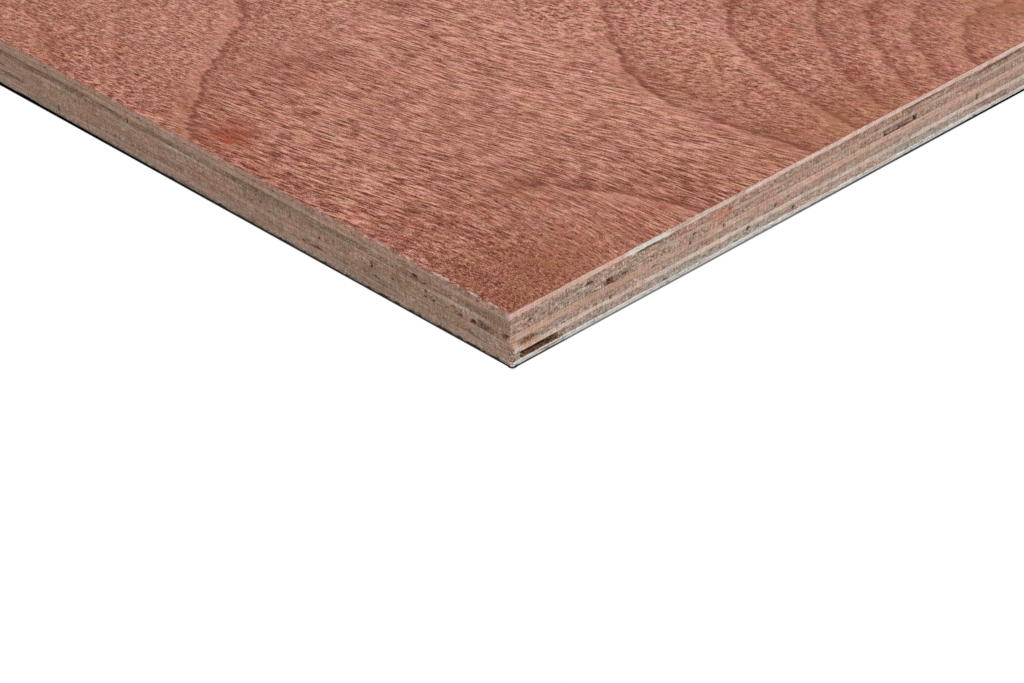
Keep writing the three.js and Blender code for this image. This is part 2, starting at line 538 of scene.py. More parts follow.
# %% Walk round an outline
# Steps are fine this far along both edges from the corner, and this deep into a gap
FINE_REACH = 275.0
FINE_DEPTH = 3.0
FINE_STEP = 0.36
COARSE_STEP = 14.0
# How much a step grows with the distance from an outline's corner, and with the depth inside a gap
STEP_GROWTH = 0.4
DEPTH_GROWTH = 6


def step_at(x, y, from_corner, fine_step):
    """How long a step may be at a point of an outline."""
    along, across = LENGTH / 2 - x, y + WIDTH / 2
    beyond = max(along, across) - FINE_REACH
    deep = min(along, across) - FINE_DEPTH
    far = max(beyond, DEPTH_GROWTH * deep, 0)
    return min(COARSE_STEP, max(fine_step, min(far, STEP_GROWTH * from_corner)))


def walk(outline, fine_step=FINE_STEP):
    """Stations round an outline, as places and outward directions."""
    corners = [np.array(corner) for corner in outline]
    places, outwards = [], []
    for start, end in zip(corners, corners[1:] + corners[:1]):
        length = np.linalg.norm(end - start)
        direction = (end - start) / length
        distances, at = [], 0.0
        while at < length - fine_step / 2:
            distances.append(at)
            x, y = start + direction * at
            at += step_at(x, y, min(at, length - at), fine_step)
        for distance in distances:
            places.append(start + direction * distance)
            outwards.append((direction[1], -direction[0]))
    outwards = np.array(outwards)
    outwards = outwards + np.roll(outwards, 1, axis=0)
    return np.array(places), outwards / np.linalg.norm(outwards, axis=1)[:, None]


places, outwards = walk(outlines["long_ply_4"])
print("stations round long_ply_4:", len(places))

# %% [markdown]
# ## A mesh for the face
#
# The face veneer's top is triangulated between its ragged outline and a graded set of points: close near
# the front corner, wide elsewhere. Delaunay triangulation joins any set of points without slivers, which
# a plain grid can't do beside a ragged edge.

# %% Triangulate the face
RAGGED_STEP = 0.6
FACE_SEED = 3
BACK_SEED = 8
# Length and depth of a torn sliver, and of a tooth, in mm
TORN_ALONG_GRAIN = (4.0, 0.55)
TORN_ACROSS_GRAIN = (1.1, 0.32)
# Spacing of the points inside, in mm, and how fast it grows beyond the fine reach
NEAR_SPACING = 3.5
FAR_SPACING = 26.0
SPACING_GROWTH = 0.15
# The triangulation's settings: its output type for whatever lies inside the rim, and its tolerance in mm
INSIDE_RIM = 1
SAME_POINT = 1e-6


def wave_noise(values, length, seed):
    """Repeatable noise along a line, from -1 to 1, with blotches of about this length."""
    knots = np.random.default_rng(seed).uniform(-1, 1, 4096)
    spot = np.mod(values / length, 4095)
    whole = spot.astype(int)
    share = spot - whole
    share = share * share * (3 - 2 * share)
    return knots[whole] * (1 - share) + knots[whole + 1] * share


# Bites out of the face along the long edge near the corner: (from, to, depth), in mm
BITES = [
    (4.8, 9.8, 0.9), (11.2, 12.8, 0.7), (13.4, 19.8, 1.1), (21, 24.4, 1), (25.6, 32.4, 1.5),
    (39.2, 41.2, 0.8), (42.6, 45.2, 0.9), (49.2, 51.6, 0.8), (54.4, 58.6, 1.2), (62.4, 64.6, 0.9),
    (72, 74.6, 0.5), (83, 86, 0.7), (93, 94.6, 0.5), (104, 106.5, 0.6), (118, 120.6, 0.5),
    (133, 137, 0.5), (160, 162.6, 0.5),
]
BITE_END = 0.8


def ragged(places, outwards, seed):
    """Pulls stations inwards where the saw tore the veneer: in slivers along the grain, in teeth across."""
    s = np.abs(places).sum(axis=1)
    across_grain = np.abs(outwards[:, 0]) > np.abs(outwards[:, 1])
    size, depth = np.where(across_grain[:, None], TORN_ACROSS_GRAIN, TORN_ALONG_GRAIN).T
    tears = np.clip(wave_noise(s, size, seed) + 0.5 * wave_noise(s, size / 3, seed + 1), 0, 1)
    patches = np.clip(0.35 + 0.9 * wave_noise(s, 23.0, seed + 2), 0, 1)
    hollow = tears * patches * depth
    along, across = LENGTH / 2 - places[:, 0], places[:, 1] + WIDTH / 2
    bite_depth = 0.75 + 0.5 * wave_noise(s, 0.9, seed + 3)
    for start, end, bite in BITES:
        inside = np.clip((along - start) / BITE_END, 0, 1) * np.clip((end - along) / BITE_END, 0, 1)
        hollow = np.maximum(hollow, bite * inside * (across < 0.1) * bite_depth)
    return places - outwards * hollow[:, None]


def graded(limit):
    """Rows that start close together and open out, from 0 to limit, leaving out both ends."""
    left_out = NEAR_SPACING * 0.6
    rows, at = [], left_out
    while at < limit - left_out:
        rows.append(at)
        opened_out = NEAR_SPACING + SPACING_GROWTH * max(at - FINE_REACH, 0)
        at += min(FAR_SPACING, opened_out, max(NEAR_SPACING, (limit - at) / 2))
    return np.array(rows)


def face_triangles(outline, seed):
    """Points and triangles of a veneer's surface."""
    rim, outwards = walk(outline, RAGGED_STEP)
    rim = ragged(rim, outwards, seed)
    along, across = np.meshgrid(graded(LENGTH), graded(WIDTH))
    inner = np.column_stack((LENGTH / 2 - along.ravel(), across.ravel() - WIDTH / 2))
    points = [Vector(point) for point in np.vstack((rim, inner))]
    edges = [(i, (i + 1) % len(rim)) for i in range(len(rim))]
    surface, _, triangles, *_ = delaunay_2d_cdt(points, edges, [], INSIDE_RIM, SAME_POINT)
    return np.array([point[:] for point in surface]), [tuple(triangle) for triangle in triangles]


def rim_loop(triangles):
    """The vertices round the rim, in order: along the edges that have a triangle on one side only."""
    one_sided = {}
    for triangle in triangles:
        for start, end in zip(triangle, triangle[1:] + triangle[:1]):
            if one_sided.pop((end, start), None) is None:
                one_sided[(start, end)] = True
    following = dict(one_sided.keys())
    loop = [next(iter(following))]
    while following[loop[-1]] != loop[0]:
        loop.append(following[loop[-1]])
    return loop


surface, triangles = face_triangles(outlines["face_veneer"], FACE_SEED)
print("face points:", len(surface), "triangles:", len(triangles), "rim:", len(rim_loop(triangles)))

# %% [markdown]
# ## What the face's points know
#
# Each vertex of the face stores the two fields, and marks placed one by one, as attributes. The finish
# reads them back, so that everything finer than the mesh can be left to it.
#
# - growth: the level, how fast it changes along the grain, and how fast it changes in all
# - grain: how far the fibres drift sideways, and how strongly the rings show
# - marks: a change of tone, rust and warmth

# %% Attributes of the face
RING_REACH = 11.0
# Marks: (across, along, half width, half length, amount), in mm. They change tone, or add rust or warmth.
TONE_MARKS = [
    (12, 142, 8, 10, -0.16), (97, 117, 3, 14, -0.14), (99, 151, 5, 7, -0.18), (88, 145, 5, 5, -0.12),
    (90, 160, 11, 9, 0.12), (106, 172, 6, 8, -0.14), (52, 164, 10, 9, -0.14), (45, 110, 4, 10, -0.10),
    (40, 130, 16, 5, 0.08), (66, 140, 4, 10, -0.08), (20, 92, 6, 9, 0.12), (4, 108, 6, 22, -0.10),
    (50, 54, 10, 6, -0.20), (65, 38, 5, 7, -0.14), (24, 62, 18, 8, -0.08), (60, 26, 7, 9, 0.12),
    (85, 26, 3, 18, -0.08), (132, 25, 4, 22, -0.12), (127, 70, 5, 12, -0.14), (208, 53, 6, 4, -0.14),
    (165, 68, 8, 6, 0.10), (48, 62, 4, 6, 0.08), (20, 20, 34, 26, -0.05), (112, 60, 10, 40, 0.07),
    (125, 105, 50, 75, 0.08), (10, 60, 22, 80, -0.04), (65, 160, 28, 14, -0.05), (8, 195, 16, 80, -0.07),
    (140, 14, 50, 12, -0.04),
]
RUST_SPOTS = [(11, 140, 6.5, 7.5, 1.0), (5, 120, 5, 8, 0.3), (52, 160, 6, 10, 0.25), (178, 60, 6, 5, 0.3)]
WARM_MARKS = [
    (25, 12, 40, 16, 0.5), (150, 8, 26, 16, 0.6), (240, 18, 16, 12, 0.8), (105, 12, 12, 12, 0.3),
    (52, 54, 9, 4, 0.5), (138, 60, 10, 40, 0.35), (6, 252, 6, 16, 0.5), (4, 150, 5, 10, 0.4),
    (120, 142, 18, 4, 0.3),
]


def marks_at(along, across, marks):
    """The sum of some marks at points of the face."""
    total = np.zeros_like(along)
    for mark_across, mark_along, half_width, half_length, amount in marks:
        away = ((across - mark_across) / half_width) ** 2 + ((along - mark_along) / half_length) ** 2
        total = total + amount * np.exp(-away)
    return total


def ring_strength(along, across):
    """How strongly rings show: as placed near the corner, and in drifts further off."""
    near = np.zeros_like(along)
    for _, strength, ring in RINGS:
        for ring_across, ring_along in ring:
            near = np.maximum(near, strength * bump(along, across, ring_along, ring_across, RING_REACH))
    corner = bump(along, across, 60, 60, 150.0)
    far = 0.55 + 0.25 * np.sin(along / 210 + 2) * np.sin(across / 130 + 1)
    inside = np.clip(corner * 2.2 - 0.4, 0, 1)
    return near * inside + far * (1 - inside)


def face_attributes(points):
    """The growth, grain and marks attributes at points of the face."""
    along, across = LENGTH / 2 - points[:, 0], points[:, 1] + WIDTH / 2
    reach = 1.0
    slope_along = (growth.at(along + reach, across) - growth.at(along - reach, across)) / (2 * reach)
    slope_across = (growth.at(along, across + reach) - growth.at(along, across - reach)) / (2 * reach)
    steepness = np.hypot(slope_along, slope_across)
    return {
        "growth": (growth.at(along, across), slope_along, steepness),
        "grain": (fibre_drift.at(along, across), ring_strength(along, across), 0 * along),
        "marks": [marks_at(along, across, marks) for marks in (TONE_MARKS, RUST_SPOTS, WARM_MARKS)],
    }


print("marks:", len(TONE_MARKS) + len(RUST_SPOTS) + len(WARM_MARKS))

# %% [markdown]
# ## Thin veneers
#
# A veneer is its surface, a wall round its ragged rim and one flat face below. The back is made like the
# face, with its better side down, because it is the same kind of wood in a plainer grade.

# %% Make the veneers
def new_piece(name, points, faces):
    """An object at the origin with this mesh, from points in mm."""
    mesh = bpy.data.meshes.new(name)
    mesh.from_pydata((np.asarray(points) * MM).tolist(), [], faces)
    piece = bpy.data.objects.new(name, mesh)
    bpy.context.scene.collection.objects.link(piece)
    return piece


def store(mesh, name, kind, domain, values):
    """Adds an attribute to a mesh."""
    attribute = mesh.attributes.new(name, kind, domain)
    key = {"FLOAT": "value", "FLOAT_VECTOR": "vector", "FLOAT_COLOR": "color"}[kind]
    attribute.data.foreach_set(key, np.asarray(values, np.float32).ravel())


def veneer_sheet(name, node, seed, good_side_up):
    """A thin veneer: its surface on top, a ragged wall round it, and one flat face below."""
    low, high = (corner.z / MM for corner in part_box(node))
    surface, triangles = face_triangles(outlines[node], seed)
    loop = rim_loop(triangles)
    top = np.column_stack((surface, np.full(len(surface), high)))
    bottom = np.column_stack((surface[loop], np.full(len(loop), low)))
    below = {vertex: len(surface) + i for i, vertex in enumerate(loop)}
    walls = [(below[a], below[b], b, a) for a, b in zip(loop, loop[1:] + loop[:1])]
    underside = tuple(below[vertex] for vertex in reversed(loop))
    piece = new_piece(name, np.vstack((top, bottom)), triangles + walls + [underside])
    hidden_top = 0 if good_side_up else 1
    store(piece.data, "rim", "FLOAT", "FACE", [hidden_top] * len(triangles) + [1] * len(walls) + [0])
    for attribute, values in face_attributes(np.vstack((surface, surface[loop]))).items():
        store(piece.data, attribute, "FLOAT_VECTOR", "POINT", np.column_stack(values))
    return piece


face = veneer_sheet("figured_face", "face_veneer", FACE_SEED, good_side_up=True)
back = veneer_sheet("plain_back", "back_veneer", BACK_SEED, good_side_up=False)
print("face triangles:", len(face.data.polygons), "back:", len(back.data.polygons))

# %% [markdown]
# ## The face's finish
#
# Up close, the face is made of short dark pores, drawn out along the grain, between light and dark
# fibres. From further off one sees the rings: a light band that ends sharply at a dark line. The material
# adds both up into one number, tone, and only then turns tone into a colour.

# %% Face veneer
PORE_WOOD = srgb(70, 20, 2)
DARK_WOOD = srgb(116, 47, 22)
MIDDLE_WOOD = srgb(179, 119, 101)
LIGHT_WOOD = srgb(234, 175, 156)
# Tints that the wood is multiplied by, so that its pores stay as dark as they are
ORANGE_TINT = (1.0, 0.90, 0.72, 1.0)
PINK_TINT = (1.0, 0.83, 1.0, 1.0)
OLIVE_TINT = (0.85, 1.0, 0.80, 1.0)
RUST_WOOD = srgb(168, 72, 38)
WARM_WOOD = srgb(162, 104, 68)
RING_WOOD = srgb(140, 78, 64)
# Each tint's blotches: their width across the grain in mm, and the seed of their texture
TINTS = [(ORANGE_TINT, 4.2, 8), (PINK_TINT, 4.2, 9), (OLIVE_TINT, 4.0, 13)]
DARK_CHIP = srgb(88, 50, 40)
PALE_CHIP = srgb(236, 208, 196)
DUST_WHITE = srgb(245, 236, 228)
# The one speck of dust on the face, in mm from the front corner
SPECK_ALONG = 89.0
SPECK_ACROSS = 118.0


def read_attribute(tree, name, output="Fac"):
    """A value that a piece's own mesh stores."""
    return Signal(tree, add_node(tree, "ShaderNodeAttribute", attribute_name=name).outputs[output])


def plan_distance(along, across):
    """The length of a way in the sheet's plane."""
    return (along * along + across * across).math("SQRT")


def face_rings(grain, level, slope_along, steepness):
    """The light band of each ring, its dark line, and the fainter lines between two rings."""
    waver = (texture(grain, (30, 5.0, 1), 2) - 0.5) * 10
    teeth = (texture(grain, (12, 1.1, 1), 11) - 0.5) * 4
    frayed = (texture(grain, (7, 1.3, 1), 19, detail=2) - 0.5) * 0.08
    jagged_level = level + slope_along * (waver + teeth) + frayed
    slope = steepness + 0.002
    ring = (jagged_level + 0.5).math("FRACT") - 0.5
    past_ring = ring / slope
    away = past_ring.math("ABSOLUTE")
    inner_side = past_ring.ramp(-0.7, 0.7)
    light_band = away.ramp(7.0, 3.0) * (1.0 - inner_side)
    worn = texture(grain, (13, 2.0, 1), 20, detail=2).ramp(0.30, 0.62)
    dark_line = (away.ramp(3.0, 0.9) * (worn * 0.24 + 0.10) + away.fade(9.0) * 0.13) * inner_side
    echo = ((jagged_level * 4.0 + 0.3).math("FRACT") / (slope * 4)).fade(1.4) * 0.12
    return light_band, dark_line, echo


def face_fibres(grain, combed, beginning):
    """Fibres and pores: long where the wood looks combed, short elsewhere, and dots where it begins."""
    short = combed * -1.0 + 1.0
    dashes = (texture(grain, (5.5, 0.95, 1), 3, detail=0) - 0.5) * combed
    dashes = dashes + (texture(grain, (3.4, 0.95, 1), 4, detail=0) - 0.5) * short
    flecks = (texture(grain, (2.8, 0.34, 1), 5, detail=1) - 0.5) * combed
    flecks = flecks + (texture(grain, (1.5, 0.32, 1), 23, detail=1) - 0.5) * short
    grit = texture(grain, (0.42, 0.26, 1), 16) - 0.5
    long_pores = strokes(grain, (13, 1.02), 12) + strokes(grain, (6.5, 0.80), 14)
    short_pores = strokes(grain, (5.0, 1.15), 17) + strokes(grain, (3.4, 0.90), 18)
    dots = strokes(grain, (1.9, 1.00), 21)
    pores = long_pores * combed + short_pores * short * (1.0 - beginning) + dots * beginning
    fibres = dashes * 0.2 + flecks * 1.75 + grit * (beginning * 0.8 + 2.1) - pores * 0.50
    return fibres, dashes, flecks


def rim_colour(place, along, rim_colours):
    """The colour of a veneer's sawn rim, with dark and pale chips in it."""
    short_colour, long_colour = rim_colours
    colour = mix_colour(along.ramp(1.0, 0.5), long_colour, short_colour)
    chips = texture(place, (2.6, 2.6, 1.0), 18, detail=3, rough=0.7) - 0.5
    colour = mix_colour((chips * -1.0).ramp(0.0, 0.24) * 0.85, colour, DARK_CHIP)
    return mix_colour(chips.ramp(0.04, 0.22) * 0.9, colour, PALE_CHIP)


def veneer_finish(name, rim_colours, ring_share, dust):
    """A finish for an outer veneer: its rim's two colours, how far its rings show, and how dusty it is."""
    material, tree, shader = new_finish(name)
    along, across, height = place_in_sheet(tree)
    level, slope_along, steepness = split(read_attribute(tree, "growth", "Vector"))
    drift, strength, _ = split(read_attribute(tree, "grain", "Vector"))
    mark, rust, warm = split(read_attribute(tree, "marks", "Vector"))
    from_corner = plan_distance(along, across)
    near = from_corner.fade(60.0)
    flat_place = join(along, across, 0.0)
    swirl = (texture(flat_place, (420, 260, 1), 1) - 0.5) * 60 * from_corner.ramp(250, 600)
    ripple = (texture(flat_place, (34, 20, 1), 10) - 0.5) * 2.5
    lane = across + drift + swirl + ripple
    grain = join(along, lane, 0.0)

    light_band, dark_line, echo = face_rings(grain, level, slope_along, steepness)
    strength = strength * ring_share
    rings = (light_band * 0.17 - dark_line - echo) * strength
    combed = across.ramp(136, 118) * along.ramp(190, 160) * from_corner.ramp(22, 80)
    beginning = from_corner.ramp(44, 18)
    fibres, dashes, flecks = face_fibres(grain, combed, beginning)
    streaks = texture(grain, (34, 1.7, 1), 6, detail=2) - 0.5
    clouds = texture(grain, (60, 9, 1), 7, detail=2) - 0.5
    fibres = fibres * (1.0 - light_band * strength * 0.45) * (across.ramp(130, 230) * -0.38 + 1.05)
    tone = fibres + streaks * 0.25 + clouds * 0.3 + rings + mark - near * 0.15 - beginning * 0.04 + 0.325
    tone = tone + across.ramp(165, 230) * 0.05

    stops = [(0.0, PORE_WOOD), (0.3, DARK_WOOD), (0.65, MIDDLE_WOOD), (1.0, LIGHT_WOOD)]
    wood = colour_scale(tone * 0.7 + 0.3, stops)
    wood = mix_colour(warm * (dashes * 2.0 + flecks * 2.0 + streaks * 2.0 + 0.6), wood, WARM_WOOD)
    wood = mix_colour(dark_line * strength * 1.1, wood, RING_WOOD)
    for tint, width, seed in TINTS:
        blotches = texture(grain, (8, width, 1), seed, detail=2).ramp(0.46, 0.82, "LINEAR")
        wood = mix_colour(blotches, wood, tint, "MULTIPLY")
    wood = mix_colour(rust * (flecks * 5.0 + dashes * 4.0 + streaks * 2.0 + 0.55), wood, RUST_WOOD)
    speck = plan_distance(along - SPECK_ALONG, across - SPECK_ACROSS).ramp(0.55, 0.35)
    wood = mix_colour(speck * dust, wood, DUST_WHITE)
    rim = rim_colour(join(along, across, height), along, rim_colours)
    wood = mix_colour(read_attribute(tree, "rim"), wood, rim)
    paint(shader, wood, tone, relief_mm=0.06, strength=0.6)
    return material


face_rim = (srgb(148, 96, 80), srgb(170, 118, 100))
back_rim = (srgb(206, 206, 203), srgb(160, 142, 130))
face.data.materials.append(veneer_finish("figured_veneer", face_rim, ring_share=1.0, dust=1.0))
back.data.materials.append(veneer_finish("plain_veneer", back_rim, ring_share=0.5, dust=0.0))
for piece, node in ((face, "face_veneer"), (back, "back_veneer")):
    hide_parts(node)
    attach(piece, "root")

# %% [markdown]
# ## Pits and openings
#
# A sawn edge is never clean. The blade pulls short bits of end grain out of it, and leaves pits of a
# millimetre or so. The largest openings are in the solids already. The small ones are listed here by place,
# size and depth, and only become numbers on the wall's points, which a later step pushes in by them.

# %% Pits and openings
# A pit marks only walls within this distance of the sheet's edge, and a stain within a little more
PIT_REACH = 3.0
STAIN_REACH = 8.0
# Pits that show on each side: (from the corner, below the face, half width, half height, depth), in mm
PITS = {
    "short": [
        (31.5, 4.5, 1.8, 0.42, 0.9), (178, 2.7, 11, 0.4, 0.5), (215, 3.2, 13, 0.5, 0.5),
        (56, 2.8, 4.5, 0.5, 0.5), (6.5, 2.9, 2, 0.3, 0.4), (8, 5.9, 0.7, 0.4, 0.7),
        (39, 7.2, 1.6, 0.6, 1), (74.9, 6.5, 0.5, 0.42, 2), (46, 7.2, 2, 0.6, 0.6),
        (73, 8.9, 0.45, 0.45, 2), (87.2, 9.1, 0.4, 0.6, 1.4), (57.5, 10.2, 1.1, 0.3, 0.6),
        (110, 11.9, 0.45, 0.6, 1.4), (39.8, 12.9, 0.5, 0.8, 1), (97.8, 14.55, 0.55, 0.55, 2.2),
        (118, 15.9, 0.6, 0.5, 1.5), (148.8, 15.5, 0.5, 0.5, 0.8), (167.6, 7.4, 0.5, 0.5, 0.6),
        (115.5, 11, 0.4, 0.5, 0.6), (178.5, 9.6, 0.8, 0.3, 0.6),
    ],
    "long": [
        (123, 5.1, 26, 0.5, 0.2), (195, 5, 7, 0.5, 0.4), (225, 5.2, 28, 0.5, 0.3),
        (41.5, 4.9, 1.1, 0.5, 0.9), (54, 5, 0.4, 0.5, 0.5), (57.4, 5.4, 0.9, 0.3, 0.5),
        (49.8, 5.2, 0.25, 0.8, 0.6), (1.6, 8.6, 1, 0.5, 0.5), (10.5, 9.1, 2.4, 0.7, 0.35),
        (16, 10.1, 1.1, 0.35, 1.2), (21.8, 10.1, 1, 0.35, 1), (33.4, 10.1, 0.5, 0.4, 0.8),
        (37, 8.2, 0.6, 0.4, 0.9), (37.4, 10.1, 0.5, 0.3, 0.8), (54, 8.1, 0.5, 0.3, 0.5),
        (24.5, 8.2, 0.8, 0.3, 0.5), (61.5, 9.5, 0.4, 1.3, 0.8), (99.8, 7.9, 0.7, 0.3, 0.5),
        (86, 10, 0.6, 0.35, 0.9), (85, 7.7, 0.4, 0.3, 0.5), (59.8, 12.6, 0.6, 0.4, 0.7),
        (87.3, 14.2, 1.5, 0.35, 1), (94.2, 14.2, 0.6, 0.4, 0.8), (64.6, 13, 0.8, 0.6, 0.3),
        (191.6, 13.9, 0.5, 0.3, 0.7), (181.6, 14, 0.4, 0.3, 0.6), (250, 13, 8, 0.7, 0.25),
        (127.5, 5.2, 0.9, 0.4, 0.4), (223.8, 15.5, 0.35, 1.4, 1),
    ],
}


def from_front(points):
    """Distances along the sheet and across it from the front corner, and below the face, in mm."""
    return LENGTH / 2 - points[:, 0], points[:, 1] + WIDTH / 2, THICKNESS - points[:, 2]


def on_side(points, on_short_end, side, reach):
    """Distance along one side of the sheet, and which points lie on it within reach of the edge."""
    along, across, _ = from_front(points)
    s, inward = (across, along) if side == "short" else (along, across)
    return s, (on_short_end == (side == "short")) & (inward < reach)


def pit_depths(points, on_short_end):
    """Depth of the placed pits at points of a wall, in mm."""
    below = from_front(points)[2]
    depth = np.zeros(len(points))
    for side, pits in PITS.items():
        s, here = on_side(points, on_short_end, side, PIT_REACH)
        for centre, centre_below, half_width, half_height, deep in pits:
            spread = ((s - centre) / half_width) ** 2 + ((below - centre_below) / half_height) ** 2
            depth = np.maximum(depth, np.where(here, deep * np.exp(-(spread**1.5) * 0.8), 0))
    return depth


# A pit whose upper part is hardly torn: (from, to along the long side, how far below the face that ends)
HALF_TORN = {"cross_ply_3": (14.0, 18.2, 9.3)}
# The share of its depth that its upper part keeps, and the height over which that grows to 1, in mm
HARDLY_TORN = 0.12
TEAR_HEIGHT = 0.6
# A joint that is nearly closed: (its place along the short end, share of the full width)
NARROWED = {"long_ply_3": (205.0, 0.45)}
# A loose strip that stands nearer the edge than its joints: (from, to along the short end, depth)
PUSHED_OUT = {"long_ply_2": (160.6, 173.9, 0.45)}
# How far they reach, in mm: to each side of the joint's middle, and in from the edge at the strip
JOINT_REACH = 1.0
STRIP_REACH = 1.6


def adjust_openings(points, node):
    """Moves the points of a few openings that the solid can only show as straight prisms."""
    along, across, below = from_front(points)
    if node in HALF_TORN:
        start, end, level = HALF_TORN[node]
        inside = (along > start) & (along < end) & (across < PIT_REACH + 1)
        depth = HARDLY_TORN + (1 - HARDLY_TORN) * np.clip((below - level) / TEAR_HEIGHT, 0, 1)
        points[:, 1] = np.where(inside, across * depth - WIDTH / 2, points[:, 1])
    if node in NARROWED:
        centre, share = NARROWED[node]
        off_centre = across - centre
        inside = np.abs(off_centre) < JOINT_REACH
        points[:, 1] = np.where(inside, centre + off_centre * share - WIDTH / 2, points[:, 1])
    if node in PUSHED_OUT:
        start, end, depth = PUSHED_OUT[node]
        inside = (across > start) & (across < end) & (along < STRIP_REACH)
        points[:, 0] = np.where(inside, LENGTH / 2 - np.minimum(along, depth), points[:, 0])


print("pits:", {side: len(pits) for side, pits in PITS.items()})

# %% [markdown]
# ## Stains on the sawn edges
#
# Glue, dirt and freshly broken wood each leave a colour in one place only, and one patch of painted shade
# lies on the broken corner. The walls are fine enough to carry such marks on their points, as a colour and
# an amount. Noise makes each mark's border wander, so that it doesn't look stamped on.

# %% Stains that are placed one by one
STAIN_COLOURS = {
    "white": srgb(216, 211, 202),
    "cream": srgb(216, 196, 172),
    "pink": srgb(206, 158, 142),
    "red": srgb(182, 120, 100),
    "orange": srgb(186, 132, 94),
    "flame": srgb(190, 118, 90),
    "rust": srgb(158, 106, 70),
    "brown": srgb(106, 74, 50),
    "umber": srgb(92, 56, 42),
    # Painted shade: the less lit left edge's colour, put on the broken corner's facet
    "facet_shade": srgb(136, 108, 94),
    "olive": srgb(124, 100, 70),
    "dark": srgb(86, 68, 58),
    "grey": srgb(146, 132, 122),
    "green": srgb(150, 150, 136),
    "tan": srgb(184, 144, 118),
    "rose": srgb(220, 172, 164),
    "peach": srgb(206, 162, 142),
}
# Stains on each side: (from, to, below the face from, to, colour, amount), in mm from the front corner.
# A later stain lies over an earlier one.
STAINS = {
    "short": [
        (-2, 12, 0.3, 2.3, "rose", 0.45), (8, 48, 0.3, 2.2, "peach", 0.45),
        (45.5, 65.5, 0.2, 2.4, "white", 1), (74, 84, 0.3, 1.6, "white", 0.35),
        (96, 106, 0.3, 1.8, "white", 0.35), (118, 130, 0.3, 1.8, "cream", 0.5),
        (38, 46, 1.6, 3.4, "red", 0.3), (49, 63, 2.3, 3.2, "dark", 0.6), (79, 92, 2.9, 6.8, "flame", 0.5),
        (86, 91, 2.2, 3.4, "brown", 0.5), (88.8, 91.2, 3.3, 4.7, "brown", 0.9),
        (87, 89.4, 5.4, 6.8, "brown", 0.3), (167, 190, 2.3, 3, "dark", 0.6),
        (202, 228, 2.7, 3.6, "dark", 0.55), (115.5, 118, 2.5, 4.4, "brown", 0.5),
        (127, 130, 2.5, 4.4, "brown", 0.5), (4, 46, 3.4, 7.6, "grey", 0.35),
        (24, 31, 3.6, 7.4, "green", 0.3), (40, 46, 5.8, 7.8, "dark", 0.35),
        (36.5, 39, 6.6, 7.8, "brown", 0.5), (3, 10, 7.6, 11, "red", 0.25), (6, 60, 8, 10.4, "tan", 0.5),
        (2, 11, 10.6, 12.4, "brown", 0.9), (3, 8.5, 11.1, 12.1, "umber", 0.9),
        (2.5, 12, 12.1, 13.6, "orange", 0.7), (28.2, 30.4, 3.8, 5.1, "white", 0.4),
        (3, 16, 12.8, 14.4, "tan", 0.5), (14, 60, 12.2, 14.2, "cream", 0.25),
        (159, 175, 5.9, 7.8, "umber", 0.6), (200, 224, 5.9, 8, "olive", 0.25),
        (1.6, 4, 13.8, 16.4, "grey", 0.7), (14, 23, 14.6, 16.6, "olive", 0.9),
        (21, 62, 14.3, 16.6, "grey", 0.4), (62, 112, 14.3, 16.6, "green", 0.3),
        (112, 165, 14.3, 16.6, "pink", 0.25), (165, 184, 14.3, 16.6, "green", 0.3),
        (204, 222, 14.3, 16.6, "brown", 0.45), (6, 22, 17.3, 18.2, "brown", 0.5),
        (55, 62.5, 16.5, 17.7, "pink", 0.35), (112, 136, 16.5, 17.7, "pink", 0.35),
        (158, 166, 16.5, 17.7, "pink", 0.35), (188, 196, 16.5, 17.7, "cream", 0.3),
    ],
    "long": [
        (60, 183, 4, 5.7, "olive", 0.6), (183, 262, 4, 5.6, "brown", 0.5),
        (190, 237, 7.4, 7.9, "brown", 0.5), (0.5, 4.8, 7.8, 10.4, "red", 0.5),
        (0.6, 4.2, 7.8, 9.9, "umber", 0.8), (8.5, 15.5, 7.9, 10.3, "umber", 0.85),
        (3, 10, 8.6, 10.2, "brown", 0.6), (0, 26, 4.3, 5.9, "olive", 0.5),
        (-1, 2.2, -0.2, 2.3, "rose", 0.9), (3, 20, 10.6, 15.6, "grey", 0.35),
        (46, 62, 8.4, 10.6, "rust", 0.3), (116, 125, 7.4, 11.4, "red", 0.3),
        (22, 44, 14.6, 17.4, "red", 0.2), (242, 258, 12.2, 13.7, "brown", 0.55),
        (223.2, 224.4, 14.4, 16.6, "dark", 0.7), (0, 12, 2.8, 3.8, "brown", 0.2),
        (62, 66, 12.2, 14, "dark", 0.35),
    ],
    # Colours where the corner is broken: these run across the corner, from left to right. Most are fresh
    # wood, but the greyish brown on the left half of the broken facet is painted shade, as that facet faces
    # the light more than the left edge does.
    "corner": [
        (-3, 3, 8.6, 11.2, "peach", 0.6), (-0.4, 3, 9, 11.4, "rust", 0.4),
        (-3, 0.9, 11.4, 16.4, "facet_shade", 0.95), (0.6, 3, 11.6, 14.4, "tan", 0.7),
        (0, 3, 15.4, 16.6, "umber", 0.7), (-3, 0.4, 16.4, 17.6, "rose", 0.7),
    ],
}
# The break reaches this far along both edges, in mm
BROKEN_CORNER = 1.7
# How a stain's border wanders: (length of the waves, how far they go). Along the edge they go a share of
# its softness, and in height so many mm.
ALONG_WANDER = (0.7, 0.5)
QUICK_WANDER = (1.3, 0.22)
SLOW_WANDER = (5.0, 0.2)
# A border is never softer than this along the edge, and in height it fades over twice the other, in mm
LONGEST_BORDER = 3.5
HALF_BORDER = 0.3


def soft_span(values, start, end, soft):
    """1 between start and end, falling to 0 over a soft distance inside both."""
    share = np.clip((values - start) / soft, 0, 1) * np.clip((end - values) / soft, 0, 1)
    return share * share * (3 - 2 * share)


def wander(values, waves, seed):
    """Noise along a line, of this length and this much to either side."""
    length, size = waves
    return wave_noise(values, length, seed) * size


